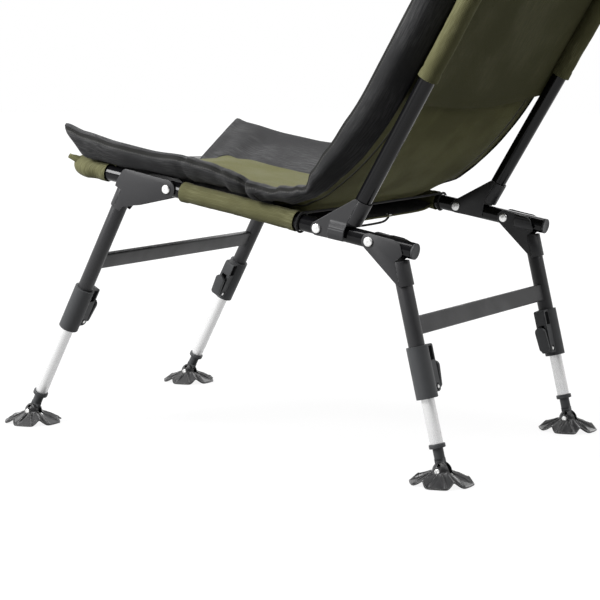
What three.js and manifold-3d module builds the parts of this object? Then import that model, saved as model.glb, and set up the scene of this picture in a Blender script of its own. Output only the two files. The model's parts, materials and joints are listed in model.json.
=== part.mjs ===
// Folding carp fishing chair: tube frame, four telescopic legs with mud feet, quilted mattress.
// Millimetres, +Z up. The chair faces -Y, the sitter's left is +X, and the feet stand on z = 0.

import * as THREE from 'three';
import { mergeVertices } from 'three/addons/utils/BufferGeometryUtils.js';
import Module from 'manifold-3d';

const wasm = await Module();
wasm.setup();
const degrees = THREE.MathUtils.degToRad;

// Seat frame. Places along the rails count backwards from the front leg rivet.
const railSpacing = 452;
const tubeRadius = 12.5;
const tubeWall = 1.5;
const railTilt = degrees(9.2);
const frontTubeAhead = 188;
const frontCornerRadius = 45;
const backRivetBehind = 284;
const rivetSpacing = 91.5;
const railOverhang = 69.5;
const capThickness = 3;
const capPlug = 12;

// Clearances, folded sheet and rivets
const seat = 0.3;
const slack = 0.5;
const sheet = 2;
const rivetRadius = 4;
const rivetHeadRadius = 7.5;
const rivetHeadHeight = 3;
const overrun = 6;

// Front legs. Places count down the leg from the rivet.
const frontLean = degrees(28);
const frontLegAhead = 77.5;
const frontCheekRound = 15.5;
const frontBracketDrop = 80;
const frontTubeDrop = 45;
const frontBarDrop = 185;
const frontClampDrop = 237;
const frontFootDrop = 485;
const frontInnerLength = 250;

// Rear legs
const rearLean = degrees(14.1);
const rearLegBehind = 36.3;
const rearCheekRound = 12.5;
const rearBracketDrop = 75.5;
const rearTubeDrop = 37;
const rearBarDrop = 136;
const rearClampDrop = 165.5;
const rearInnerLength = 200;

// Inner legs and crossbars
const innerRadius = 10;
const innerWall = 1.4;
const barHeight = 28;
const barThickness = 10;
const barCorner = 3.5;

// Leg clamps and their cam levers
const clampHeight = 78;
const clampRadius = 16.5;
const clampLip = 6;
const housingReach = 30;
const housingHeight = 25;
const housingHalf = 9.5;
const housingChamfer = 4;
const pocketDrop = 23;
const pocketRoof = 3;
const pocketWeb = 4;
const pocketWall = 3.5;
const slotHalf = 5.2;
const leverPivotOut = 23;
const leverPivotRise = 13;
const leverPinRadius = 2.6;
const leverHubRadius = 6;
const leverHalf = 11;
const leverRise = 38;
const leverStandOff = 13;
const leverThickness = 6;

// Backrest frame. Places count up the back tubes from the backrest rivet.
const backLean = degrees(30.5);
const backTubeBehind = 40.3;
const backCheekRound = 11;
const backBracketRise = 75;
const backTubeRise = 36;
const backBendRise = 90;
const backSplay = 6;
const backHeight = 590;
const backCornerRadius = 70;
const saddleRadius = 10.5;
const saddleLength = 28;
const saddleProud = 5;
const saddleBehind = 36;

// Mud feet
const footRadius = 49;
const footPivotHeight = 21;
const footDomeRadius = 15;
const footSkirtTop = 14;
const footShell = 3;
const footPetals = 5;
const footSoleWidth = 4;
const footNotchHeight = 8;
const footNotchRadius = 35;
const footRidge = 4;
const footSlotHalf = 4.5;
const footTurn = degrees(18);
const tongueHalf = 4;
const tongueRound = 7.5;
const neckRadius = 8;
const neckRise = 16.5;
const collarRise = 33;
const collarHeight = 6;
const collarRadius = 12.5;
const screwRadius = 2.5;
const screwHeadRadius = 4.5;
const screwHeadHeight = 3;

// Cloth on the tubes
const sleeveWall = 1.3;
const frontSleeveEnd = -127;
const mainSleeveStart = 24.5;
const hemAhead = 8;
const slingThickness = 2.5;
const slingSag = 19;
const slingSideDrop = 3;
const slingBracketInset = 30;
const slingRearDrop = 12;
const backSleeveRise = 285;
const backHemRise = 240;
const backHemDip = 18;
const elasticRadius = 2;
const elasticClearance = 6;
const eyeletRadius = 5;
const eyeletHole = 2.8;
const loopRadius = 1.6;
const eyeletSide = 70;
const loopSag = 7;

// Mattress, measured along its underside and square to it
const mattressOver = 32;
const mattressAhead = 207;
const padThickness = 27;
const padCrown = 6;
const wingStart = 140;
const wingRise = 84;
const seatWingDrop = 54;
const backWingOver = 3;
const frontReach = 75;
const middleHalf = 112;
const middleSetback = 38;
const middleClimb = 11;
const climbReach = 35;
const underSetback = 22;
const edgeThickness = 9;
const edgeRound = 1.5;
const bendStart = 125;
const lowBendRadius = 202;
const lowBendAngle = degrees(42);
const mattressTop = 625;
const mattressOff = 18.8;
const seamDepth = 4;

// Facets
const tubeSides = 16;
const hoopSides = 12;
const smallSides = 12;
const cordSides = 8;
const cornerSteps = 5;

// Derived places
const railX = railSpacing / 2;
const rearRivetBehind = backRivetBehind + rivetSpacing;
const railBehind = rearRivetBehind + railOverhang;
const mattressHalf = railX + mattressOver;
const tubeBore = tubeRadius - tubeWall;
const cheekIn = tubeRadius + slack;
const cheekOut = cheekIn + sheet;
const rivetBore = rivetRadius + seat;
const rivetHalf = cheekOut + seat;
const sleeveBore = tubeRadius + seat;
const sleeveRadius = sleeveBore + sleeveWall;
const elasticReach = tubeRadius + seat + elasticRadius;
const elasticTurn = Math.acos(1 - (slingSag + elasticReach + elasticRadius + elasticClearance) / lowBendRadius);
const elasticBehind = bendStart + lowBendRadius * Math.sin(elasticTurn);
const mainSleeveEnd = elasticBehind - hemAhead;
const frontLocal = frontLean - railTilt;
const rearLocal = rearLean + railTilt;
const backLocal = backLean - railTilt;
const frontRivetHeight = footPivotHeight
  + frontFootDrop * Math.cos(frontLean) - frontLegAhead * Math.sin(frontLean);
const rearRivetHeight = frontRivetHeight - rearRivetBehind * Math.sin(railTilt);
const rearFootDrop = (rearRivetHeight + rearLegBehind * Math.sin(rearLean) - footPivotHeight)
  / Math.cos(rearLean);

// Materials
function paint(color, roughness, metalness) {
  return new THREE.MeshStandardMaterial({ color, roughness, metalness });
}
const blackPaint = paint(0x1c1c1d, 0.38, 0.2);
const charcoalPlastic = paint(0x2c2d2e, 0.55, 0);
const brightAlloy = paint(0xd9dadb, 0.32, 0.9);
const chrome = paint(0xdcdcda, 0.18, 1);
const oliveCloth = paint(0x4a4b2d, 0.9, 0);
const blackCloth = paint(0x27282a, 0.85, 0);
const blackRubber = paint(0x151515, 0.7, 0);

// From geometry to solid and back
function solid(geometry) {
  const bare = geometry.clone();
  bare.deleteAttribute('normal');
  bare.deleteAttribute('uv');
  const merged = mergeVertices(bare);
  const mesh = new wasm.Mesh({
    numProp: 3,
    vertProperties: new Float32Array(merged.attributes.position.array),
    triVerts: new Uint32Array(merged.index.array),
  });
  return new wasm.Manifold(mesh);
}

function surface(manifold) {
  const mesh = manifold.getMesh();
  const geometry = new THREE.BufferGeometry();
  geometry.setAttribute('position', new THREE.BufferAttribute(new Float32Array(mesh.vertProperties), 3));
  geometry.setIndex(new THREE.BufferAttribute(new Uint32Array(mesh.triVerts), 1));
  geometry.computeVertexNormals();
  return geometry;
}

function joined(...geometries) {
  return geometries.map(solid).reduce((whole, next) => whole.add(next));
}

function cut(body, ...tools) {
  return tools.map(solid).reduce((whole, next) => whole.subtract(next), body);
}

function piece(parent, name, form, material) {
  const geometry = form.isBufferGeometry ? form : surface(form);
  const mesh = new THREE.Mesh(geometry, material);
  mesh.name = name;
  parent.add(mesh);
  return mesh;
}

// A mesh from points and quads, turned to face outwards.
function closedMesh(points, quads) {
  const index = quads.flatMap(([a, b, c, d]) => (d === undefined ? [a, b, c] : [a, b, c, a, c, d]));
  let volume = 0;
  for (let i = 0; i < index.length; i += 3) {
    const [a, b, c] = [points[index[i]], points[index[i + 1]], points[index[i + 2]]];
    volume += a.dot(b.clone().cross(c));
  }
  const geometry = new THREE.BufferGeometry().setFromPoints(points);
  geometry.setIndex(volume < 0 ? index.reverse() : index);
  geometry.computeVertexNormals();
  return geometry;
}

// A solid through rings of points. The ends are closed by fans, or joined to each other where looped.
function loft(rings, looped = false) {
  const count = rings[0].length;
  const points = rings.flat();
  const quads = [];
  const last = looped ? rings.length : rings.length - 1;
  for (let i = 0; i < last; i++) {
    const here = i * count;
    const next = ((i + 1) % rings.length) * count;
    for (let k = 0; k < count; k++) {
      const after = (k + 1) % count;
      quads.push([here + k, here + after, next + after, next + k]);
    }
  }
  if (!looped) {
    const ends = [[rings[0], 0], [rings.at(-1), (rings.length - 1) * count]];
    ends.forEach(([ring, start], end) => {
      const middle = points.length;
      points.push(ring.reduce((sum, p) => sum.add(p), new THREE.Vector3()).divideScalar(count));
      for (let k = 0; k < count; k++) {
        const pair = [start + k, start + (k + 1) % count];
        quads.push(end === 0 ? [middle, pair[1], pair[0]] : [middle, pair[0], pair[1]]);
      }
    });
  }
  return closedMesh(points, quads);
}

// A slab between two grids of points of the same size.
function slab(lower, upper) {
  const rows = lower.length;
  const columns = lower[0].length;
  const points = [...lower.flat(), ...upper.flat()];
  const low = (i, j) => i * columns + j;
  const high = (i, j) => rows * columns + low(i, j);
  const quads = [];
  for (let i = 0; i + 1 < rows; i++) {
    for (let j = 0; j + 1 < columns; j++) {
      quads.push([high(i, j), high(i, j + 1), high(i + 1, j + 1), high(i + 1, j)]);
      quads.push([low(i, j), low(i + 1, j), low(i + 1, j + 1), low(i, j + 1)]);
    }
    quads.push([high(i, 0), high(i + 1, 0), low(i + 1, 0), low(i, 0)]);
    const end = columns - 1;
    quads.push([high(i + 1, end), high(i, end), low(i, end), low(i + 1, end)]);
  }
  for (let j = 0; j + 1 < columns; j++) {
    quads.push([high(0, j + 1), high(0, j), low(0, j), low(0, j + 1)]);
    const end = rows - 1;
    quads.push([high(end, j), high(end, j + 1), low(end, j + 1), low(end, j)]);
  }
  return closedMesh(points, quads);
}

function ring(centre, across, up, radius, sides) {
  return Array.from({ length: sides }, (_, k) => {
    const angle = k / sides * 2 * Math.PI;
    return centre.clone()
      .addScaledVector(across, radius * Math.cos(angle))
      .addScaledVector(up, radius * Math.sin(angle));
  });
}

// A tube or rod along z, from low to high.
function pipe(outer, inner, low, high, sides = tubeSides) {
  const profile = inner > 0
    ? [[inner, low], [outer, low], [outer, high], [inner, high], [inner, low]]
    : [[0, low], [outer, low], [outer, high], [0, high]];
  return new THREE.LatheGeometry(profile.map(([x, y]) => new THREE.Vector2(x, y)), sides)
    .rotateX(Math.PI / 2);
}

// A rod along x at a place in the y, z plane.
function crossRod(radius, half, y, z, sides = smallSides) {
  return pipe(radius, 0, -half, half, sides).rotateY(Math.PI / 2).translate(0, y, z);
}

// A bent tube that stays in the plane square to one direction, through stations with a heading each.
function bentTube(stations, square, outer, inner, sides = hoopSides) {
  const rings = (radius) => stations.map(({ place, heading }) => {
    const across = square.clone().cross(heading).normalize();
    return ring(place, across, square, radius, sides);
  });
  return inner > 0 ? loft([...rings(outer), ...rings(inner).reverse()], true) : loft(rings(outer));
}

// An outline in the y, z plane made a plate between two values of x.
function plate(outline, low, high, curveSegments = 6) {
  const made = new THREE.ExtrudeGeometry(outline, {
    depth: high - low, bevelEnabled: false, curveSegments,
  });
  return made.rotateX(Math.PI / 2).rotateZ(Math.PI / 2).translate(low, 0, 0);
}

// An outline in the x, z plane made a plate between y = -half and y = half.
function sidePlate(outline, half) {
  const made = new THREE.ExtrudeGeometry(outline, {
    depth: 2 * half, bevelEnabled: false, curveSegments: 6,
  });
  return made.rotateX(Math.PI / 2).translate(0, half, 0);
}

function box(x0, x1, y0, y1, z0, z1) {
  return new THREE.BoxGeometry(x1 - x0, y1 - y0, z1 - z0)
    .translate((x0 + x1) / 2, (y0 + y1) / 2, (z0 + z1) / 2);
}

function roundedRectangle(width, height, radius) {
  const [w, h] = [width / 2 - radius, height / 2 - radius];
  const outline = new THREE.Shape();
  outline.absarc(w, h, radius, 0, Math.PI / 2, false);
  outline.absarc(-w, h, radius, Math.PI / 2, Math.PI, false);
  outline.absarc(-w, -h, radius, Math.PI, 1.5 * Math.PI, false);
  outline.absarc(w, -h, radius, 1.5 * Math.PI, 2 * Math.PI, false);
  outline.closePath();
  return outline;
}

// Reads a table of [place share, value] pairs at a share, with straight lines between the pairs.
function tableAt(table, share) {
  const after = table.findIndex(([place]) => place >= share);
  if (after === 0) return table[0][1];
  if (after < 0) return table.at(-1)[1];
  const [[p0, v0], [p1, v1]] = [table[after - 1], table[after]];
  return THREE.MathUtils.lerp(v0, v1, (share - p0) / (p1 - p0));
}

// Frames that the pieces hang on. In the rail frame y runs back along the rails.
const chair = new THREE.Group();
const rails = new THREE.Group();
rails.position.z = frontRivetHeight;
rails.rotation.x = -railTilt;
chair.add(rails);

function frameAt(behind, turn) {
  const frame = new THREE.Group();
  frame.position.y = behind;
  frame.rotation.x = turn;
  rails.add(frame);
  return frame;
}
const frontLegs = frameAt(0, -frontLocal);
const rearLegs = frameAt(rearRivetBehind, rearLocal);
const back = frameAt(backRivetBehind, -backLocal);
const sides = [['left', 1], ['right', -1]];
const rivetPlaces = { front_leg: 0, backrest: backRivetBehind, rear_leg: rearRivetBehind };

// Stations of a U: up one side, round two corners and down the other.
// half(up) is the half width at a height, and toSpace places (across, up) in the frame.
function hoop(half, low, top, cornerRadius, steps, toSpace) {
  const bendFrom = top - cornerRadius;
  const width = half(bendFrom);
  const flat = [];
  for (let i = 0; i <= steps; i++) {
    const angle = i / steps * Math.PI / 2;
    flat.push({
      at: [width - cornerRadius + cornerRadius * Math.cos(angle), bendFrom + cornerRadius * Math.sin(angle)],
      to: [-Math.sin(angle), Math.cos(angle)],
    });
  }
  if (low < bendFrom) flat.unshift({ at: [half(low), low], to: [0, 1] });
  const mirrored = flat.map(({ at, to }) => ({ at: [-at[0], at[1]], to: [to[0], -to[1]] })).reverse();
  return [...flat, ...mirrored].map(({ at, to }) => ({ place: toSpace(...at), heading: toSpace(...to, true) }));
}
const inRails = (across, up) => new THREE.Vector3(across, -up, 0);
const inBack = (across, up, isHeading) => new THREE.Vector3(across, isHeading ? 0 : backTubeBehind, up);
const railHalf = () => railX;

// Seat rails, front tube, end caps and rivets
function seatFrame() {
  const cornerEnd = frontCornerRadius - frontTubeAhead;
  for (const [name, side] of sides) {
    const tube = solid(pipe(tubeRadius, tubeBore, cornerEnd + seat, railBehind).rotateX(-Math.PI / 2));
    const holes = Object.values(rivetPlaces).map((place) => crossRod(rivetBore, tubeRadius + overrun, place, 0));
    const mesh = piece(rails, `seat_rail_${name}`, cut(tube, ...holes), blackPaint);
    mesh.position.x = side * railX;
    piece(rails, `rail_end_cap_${name}`, endCap(), charcoalPlastic).position.x = side * railX;
    for (const [use, place] of Object.entries(rivetPlaces)) {
      piece(rails, `${use}_rivet_${name}`, rivet(), chrome).position.set(side * railX, place, 0);
    }
  }
  const front = hoop(railHalf, -cornerEnd, frontTubeAhead, frontCornerRadius, cornerSteps, inRails);
  piece(rails, 'seat_front_tube', bentTube(front, new THREE.Vector3(0, 0, 1), tubeRadius, tubeBore), blackPaint);
}

function endCap() {
  const rim = railBehind + seat;
  const crown = rim + capThickness;
  const profile = [
    [0, rim - capPlug], [tubeBore - seat, rim - capPlug], [tubeBore - seat, rim], [tubeRadius, rim],
    [tubeRadius, crown - capThickness / 3], [tubeRadius - capThickness / 2, crown], [0, crown],
  ];
  return new THREE.LatheGeometry(profile.map(([x, y]) => new THREE.Vector2(x, y)), hoopSides);
}

// A rivet along x with a domed head at each end.
function rivet() {
  const domeShares = [[1, 0], [0.8, 0.68], [0, 1]];
  const head = domeShares.map(([out, up]) => [out * rivetHeadRadius, rivetHalf + up * rivetHeadHeight]);
  const half = [[rivetRadius, 0], [rivetRadius, rivetHalf], ...head];
  const other = half.slice(1).reverse().map(([radius, along]) => [radius, -along]);
  const profile = [...other, ...half].map(([x, y]) => new THREE.Vector2(x, y));
  return new THREE.LatheGeometry(profile, smallSides).rotateZ(-Math.PI / 2);
}

// Folded sheet brackets: two cheeks beside the rail joined by a half ring round a tube
function bracket(outline, tubeY, wrapSide, wrapLow, wrapHigh) {
  const whole = pipe(cheekOut, cheekIn, wrapLow, wrapHigh).translate(0, tubeY, 0);
  const edges = [tubeY - wrapSide * sheet, tubeY - wrapSide * (cheekOut + overrun)].sort((a, b) => a - b);
  const open = box(-cheekOut - overrun, cheekOut + overrun, ...edges, wrapLow - overrun, wrapHigh + overrun);
  const wrap = cut(solid(whole), open);
  const folded = joined(plate(outline, cheekIn, cheekOut), plate(outline, -cheekOut, -cheekIn)).add(wrap);
  return cut(folded, crossRod(rivetBore, cheekOut + overrun, 0, 0));
}

function frontCheek() {
  const front = -frontLegAhead - cheekOut;
  const outline = new THREE.Shape();
  outline.absarc(0, 0, frontCheekRound, degrees(123), degrees(-27), true);
  outline.lineTo(0.675 * -frontLegAhead, 0.79 * -frontBracketDrop);
  outline.lineTo(cheekOut - frontLegAhead, 0.9 * -frontBracketDrop);
  outline.lineTo(cheekOut - frontLegAhead, -frontBracketDrop);
  outline.lineTo(-frontLegAhead, -frontBracketDrop);
  outline.lineTo(-frontLegAhead, 0.59 * -frontBracketDrop);
  outline.lineTo(front, 0.59 * -frontBracketDrop);
  outline.lineTo(front, 0.42 * -frontBracketDrop);
  outline.lineTo(0.956 * front, 0.166 * -frontBracketDrop);
  outline.closePath();
  return outline;
}

function rearCheek() {
  const reach = rearLegBehind + cheekOut;
  const outline = new THREE.Shape();
  outline.absarc(0, 0, rearCheekRound, degrees(65), degrees(200), false);
  outline.lineTo(0.624 * reach, 0.95 * -rearBracketDrop);
  outline.lineTo(rearLegBehind, -rearBracketDrop);
  outline.lineTo(rearLegBehind, 0.5 * -rearBracketDrop);
  outline.lineTo(reach, 0.4 * -rearBracketDrop);
  outline.lineTo(reach, 0.286 * -rearBracketDrop);
  outline.lineTo(0.975 * reach, 0.155 * -rearBracketDrop);
  outline.lineTo(0.81 * reach, 0.064 * -rearBracketDrop);
  outline.lineTo(0.45 * reach, 0.041 * rearBracketDrop);
  outline.closePath();
  return outline;
}

function backCheek() {
  const reach = backTubeBehind + cheekOut;
  const outline = new THREE.Shape();
  outline.absarc(0, 0, backCheekRound, degrees(148), degrees(296), false);
  outline.lineTo(0.9 * reach, 0.096 * backBracketRise);
  outline.lineTo(0.967 * reach, 0.213 * backBracketRise);
  outline.lineTo(0.919 * reach, 0.464 * backBracketRise);
  outline.lineTo(backTubeBehind, 0.493 * backBracketRise);
  outline.lineTo(backTubeBehind, backBracketRise);
  outline.lineTo(0.6 * reach, backBracketRise);
  outline.closePath();
  return outline;
}

// A bracket with a saddle pressed out of one cheek over the rail: a hollow half barrel, open behind.
// The saddle lies along the rail, so it turns by the tilt of the rail in the bracket's frame.
function saddled(plain, side, tilt) {
  const barrel = (radius, proud, from, to) => pipe(radius, 0, from, to, smallSides)
    .rotateX(-Math.PI / 2).scale(proud / radius, 1, 1);
  const place = (geometry) => geometry.translate(side * cheekOut, saddleBehind, 0).rotateX(tilt);
  const half = saddleLength / 2;
  const shell = place(barrel(saddleRadius, saddleProud, -half, half));
  const hollow = place(barrel(saddleRadius - sheet, saddleProud - sheet, sheet - half, half + overrun));
  const reach = saddleBehind + saddleLength;
  const inside = box(-cheekIn, cheekIn, -reach, reach, -reach, reach);
  return cut(plain.add(cut(solid(shell), inside)), hollow);
}

const frontBracket = () => bracket(
  frontCheek(), -frontLegAhead, -1, -frontBracketDrop, 0.59 * -frontBracketDrop);

// The rear bracket's saddle is on its inner cheek, and the back bracket's on its outer one.
const rearBracket = (side) => saddled(bracket(
  rearCheek(), rearLegBehind, 1, -rearBracketDrop, 0.5 * -rearBracketDrop), -side, -rearLocal);

const backBracket = (side) => saddled(bracket(
  backCheek(), backTubeBehind, 1, 0.493 * backBracketRise, backBracketRise), side, backLocal);

// Outer leg tubes, crossbar, brackets and clamps of one pair of legs
function legPair(frame, prefix, size) {
  for (const [name, side] of sides) {
    const place = (mesh, y = 0, z = 0) => mesh.position.set(side * railX, y, z);
    place(piece(frame, `${prefix}_bracket_${name}`, size.bracket(side), blackPaint));
    const tube = pipe(tubeRadius, tubeBore, seat + clampLip - size.clampDrop - clampHeight, -size.tubeDrop);
    place(piece(frame, `${prefix}_leg_${name}`, tube, blackPaint), size.legY);
    const clamp = piece(frame, `${prefix}_clamp_${name}`, legClamp(side), charcoalPlastic);
    place(clamp, size.legY, -size.clampDrop - clampHeight);
    const lever = piece(frame, `${prefix}_lever_${name}`, camLever(side), charcoalPlastic);
    place(lever, size.legY, -size.clampDrop - clampHeight);
    innerLeg(frame, prefix, name, side, size);
  }
  const bar = piece(frame, `${prefix}_crossbar`, crossbar(), blackPaint);
  bar.position.set(0, size.legY, -size.barDrop);
}

function crossbar() {
  const outline = roundedRectangle(barThickness, barHeight, barCorner);
  outline.holes.push(roundedRectangle(
    barThickness - 2 * tubeWall, barHeight - 2 * tubeWall, barCorner - tubeWall));
  const bar = solid(plate(outline, -railX, railX, 2));
  const cope = pipe(tubeRadius + seat, 0, -barHeight, barHeight);
  return cut(bar, ...sides.map(([, side]) => cope.clone().translate(side * railX, 0, 0)));
}

// The lever's pin across the clamp, or the hole for it
function clampPin(radius, half) {
  return pipe(radius, 0, -half, half, smallSides).rotateX(Math.PI / 2)
    .translate(leverPivotOut, 0, leverPivotRise);
}

// The clamp: a sleeve with a lower lip, and a housing towards the other leg. The housing has a slot
// for the lever, and above it a pocket in each side.
function legClamp(side) {
  const outline = new THREE.Shape();
  outline.moveTo(tubeRadius, clampHeight);
  outline.lineTo(housingReach - housingChamfer, clampHeight);
  outline.lineTo(housingReach, clampHeight - housingChamfer);
  outline.absarc(leverPivotOut, leverPivotRise, housingReach - leverPivotOut, 0, -Math.PI / 2, true);
  outline.lineTo(tubeRadius, leverPivotRise + leverPivotOut - housingReach);
  outline.closePath();
  const body = joined(pipe(clampRadius, 0, 0, clampHeight), sidePlate(outline, housingHalf));
  const slot = box(clampRadius + seat, housingReach + overrun, -slotHalf, slotHalf,
    -overrun, clampHeight - housingHeight);
  const deep = housingHalf + overrun - pocketWeb / 2;
  const pockets = [-1, 1].map((face) => box(clampRadius + seat, housingReach - pocketWall,
    -deep / 2, deep / 2, clampHeight - pocketDrop, clampHeight - pocketRoof)
    .translate(0, face * (pocketWeb + deep) / 2, 0));
  const bore = pipe(tubeRadius + seat, 0, clampLip, clampHeight + overrun);
  const lowBore = pipe(innerRadius + seat, 0, -overrun, clampHeight);
  const pin = solid(clampPin(leverPinRadius, housingHalf + slack));
  return surface(cut(body, slot, ...pockets, bore, lowBore).add(pin)).rotateZ(side > 0 ? Math.PI : 0);
}

// The lever: a hub in the slot and a wide paddle with a round top, which stands off towards it
function camLever(side) {
  const paddle = new THREE.Shape();
  const out = housingReach + slack;
  paddle.moveTo(out, leverPivotRise);
  paddle.lineTo(out + leverThickness / 6, leverPivotRise - leverThickness / 2);
  paddle.lineTo(out + leverThickness / 2, leverPivotRise - leverThickness / 2);
  paddle.lineTo(housingReach + leverStandOff, leverPivotRise + 0.9 * leverRise);
  paddle.lineTo(housingReach + leverStandOff - leverThickness / 3, leverPivotRise + leverRise);
  paddle.lineTo(housingReach + leverStandOff - leverThickness, leverPivotRise + leverRise);
  paddle.closePath();
  const hub = new THREE.Shape();
  hub.absarc(leverPivotOut, leverPivotRise, leverHubRadius, Math.PI / 2, -Math.PI / 2, false);
  hub.lineTo(out + leverThickness / 3, leverPivotRise - leverThickness / 3);
  hub.lineTo(out + leverThickness / 3, leverPivotRise + leverHubRadius);
  hub.closePath();
  const face = new THREE.Shape();
  face.moveTo(-leverHalf, 0);
  face.lineTo(leverHalf, 0);
  face.absarc(0, leverPivotRise + leverRise - leverHalf, leverHalf, 0, Math.PI, false);
  face.closePath();
  const rounded = solid(sidePlate(paddle, leverHalf))
    .intersect(solid(plate(face, housingReach, housingReach + leverStandOff + overrun, 4)));
  const body = rounded.add(solid(sidePlate(hub, slotHalf - seat)));
  const hole = clampPin(leverPinRadius + seat, leverHalf);
  return surface(cut(body, hole)).rotateZ(side > 0 ? Math.PI : 0);
}

// Sliding inner leg, foot socket and foot. The foot stands level in the chair's frame.
function innerLeg(frame, prefix, name, side, size) {
  const pivot = -size.footDrop;
  const start = pivot + collarRise + collarHeight + seat;
  const tube = pipe(innerRadius, innerRadius - innerWall, start, start + size.innerLength);
  const mesh = piece(frame, `${prefix}_inner_leg_${name}`, tube, brightAlloy);
  mesh.position.set(side * railX, size.legY, 0);
  const socket = piece(frame, `${prefix}_foot_socket_${name}`, footSocket(), charcoalPlastic);
  socket.position.set(side * railX, size.legY, pivot);
  const level = new THREE.Group();
  level.position.set(side * railX, size.legY, pivot);
  level.rotation.x = size.level;
  frame.add(level);
  piece(level, `${prefix}_foot_${name}`, mudFoot(), blackRubber);
}

function footSocket() {
  const plugRadius = innerRadius - innerWall - seat;
  const profile = [
    [0, neckRise], [neckRadius, neckRise], [neckRadius, collarRise], [collarRadius, collarRise],
    [collarRadius, collarRise + collarHeight], [plugRadius, collarRise + collarHeight],
    [plugRadius, collarRise + collarHeight + capPlug], [0, collarRise + collarHeight + capPlug],
  ];
  const turned = new THREE.LatheGeometry(profile.map(([x, y]) => new THREE.Vector2(x, y)), hoopSides)
    .rotateX(Math.PI / 2);
  const tongue = new THREE.Shape();
  tongue.absarc(0, 0, tongueRound, Math.PI, 2 * Math.PI, false);
  tongue.lineTo(tongueRound, neckRise + slack);
  tongue.lineTo(-tongueRound, neckRise + slack);
  tongue.closePath();
  return cut(joined(turned, plate(tongue, -tongueHalf, tongueHalf)),
    crossRod(screwRadius + seat, tongueHalf + overrun, 0, 0));
}

// Places round one petal: [share of the pitch, share of the reach, share of the ridge].
const petalShares = [
  [-0.5, 0, 0], [-0.34, 0.62, 0.1], [-0.16, 1, 0.45], [0, 1, 1], [0.16, 1, 0.45], [0.34, 0.62, 0.1],
];

// A mud foot round its pivot: a dome slotted for the tongue, and a ring of ridged petals.
// It stands on a flat strip under the end of each petal.
function mudFoot() {
  const pitch = 2 * Math.PI / footPetals;
  const places = Array.from({ length: footPetals }, (_, petal) => petalShares.map(([place, reach, ridge]) => ({
    angle: footTurn + (petal + place) * pitch, reach, ridge,
  }))).flat();
  const point = (angle, radius, height) => new THREE.Vector3(
    radius * Math.cos(angle), radius * Math.sin(angle), height - footPivotHeight);
  const ringAt = (share, thickness, inset = 0) => places.map(({ angle, reach, ridge }) => {
    const rim = THREE.MathUtils.lerp(footNotchRadius, footRadius, reach) - inset;
    const rise = thickness + footRidge * ridge * Math.sin(Math.PI * share);
    return point(angle, THREE.MathUtils.lerp(footDomeRadius, rim, share) + thickness - footShell,
      THREE.MathUtils.lerp(footSkirtTop - footShell, footNotchHeight * (1 - reach), share) + rise);
  });
  const domeRing = (rise) => places.map(({ angle }) => point(
    angle, footDomeRadius * Math.cos(rise), footPivotHeight + footDomeRadius * Math.sin(rise)));
  const dome = [55, 0].map((rise) => domeRing(degrees(rise)));
  const top = [0, 0.5, 1].map((share) => ringAt(share, footShell));
  const bottom = [ringAt(1, 0), ringAt(1, 0, footSoleWidth), ringAt(0, 0)];
  const body = solid(loft([...dome, ...top, ...bottom]));
  const low = tongueRound + slack;
  const slot = box(-footSlotHalf, footSlotHalf, -footDomeRadius - overrun, footDomeRadius + overrun,
    -low, footDomeRadius + overrun);
  return cut(body, slot).add(solid(footScrew()));
}

function footScrew() {
  const half = footDomeRadius - seat;
  const profile = [
    [0, -half - screwHeadHeight], [screwHeadRadius, -half - screwHeadHeight], [screwHeadRadius, -half],
    [screwRadius, -half], [screwRadius, half], [screwHeadRadius, half],
    [screwHeadRadius, half + 0.6 * screwHeadHeight], [0.6 * screwHeadRadius, half + screwHeadHeight],
    [0, half + screwHeadHeight],
  ];
  return new THREE.LatheGeometry(profile.map(([x, y]) => new THREE.Vector2(x, y)), cordSides)
    .rotateZ(-Math.PI / 2);
}

// Backrest: brackets, splayed tubes, top hoop, sleeves and the cloth between them
const backHalf = (up) => railX + backSplay
  * THREE.MathUtils.clamp((up - backBendRise) / (backHeight - backCornerRadius - backBendRise), 0, 1);

function backTube(side, from, to, outer, inner) {
  const heights = [from, ...(from < backBendRise ? [backBendRise] : []), to];
  const stations = heights.map((up) => ({ place: inBack(side * backHalf(up), up), heading: inBack(0, 1, true) }));
  return bentTube(stations, new THREE.Vector3(0, 1, 0), outer, inner, tubeSides);
}

function backrest() {
  const hoopStart = backHeight - backCornerRadius;
  for (const [name, side] of sides) {
    const mesh = piece(back, `back_bracket_${name}`, backBracket(side), blackPaint);
    mesh.position.x = side * railX;
    piece(back, `back_tube_${name}`,
      backTube(side, backTubeRise, hoopStart - seat, tubeRadius, tubeBore), blackPaint);
    piece(back, `back_sleeve_${name}`,
      backTube(side, backSleeveRise, hoopStart - overrun, sleeveRadius, sleeveBore), oliveCloth);
  }
  const top = hoop(backHalf, hoopStart, backHeight, backCornerRadius, cornerSteps, inBack);
  piece(back, 'back_top_tube', bentTube(top, new THREE.Vector3(0, 1, 0), tubeRadius, tubeBore), blackPaint);
  piece(back, 'back_sling', backSling(hoopStart - overrun), oliveCloth);
}

// The cloth between the back tubes lies just inside the front of their sleeves. Its lower hem sags.
function backSling(top) {
  const front = backTubeBehind - sleeveRadius + seat;
  const behind = front + slingThickness;
  const inset = Math.sqrt(sleeveRadius ** 2 - (backTubeBehind - behind) ** 2) + slack;
  const shares = [-1, -0.6, 0, 0.6, 1];
  const hem = (share) => backHemRise - backHemDip * (1 - share ** 2);
  const grid = (y) => [hem, () => top].map((height) => shares.map((share) => new THREE.Vector3(
    share * (backHalf(height(share)) - inset), y, height(share))));
  return slab(grid(behind), grid(front));
}

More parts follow.
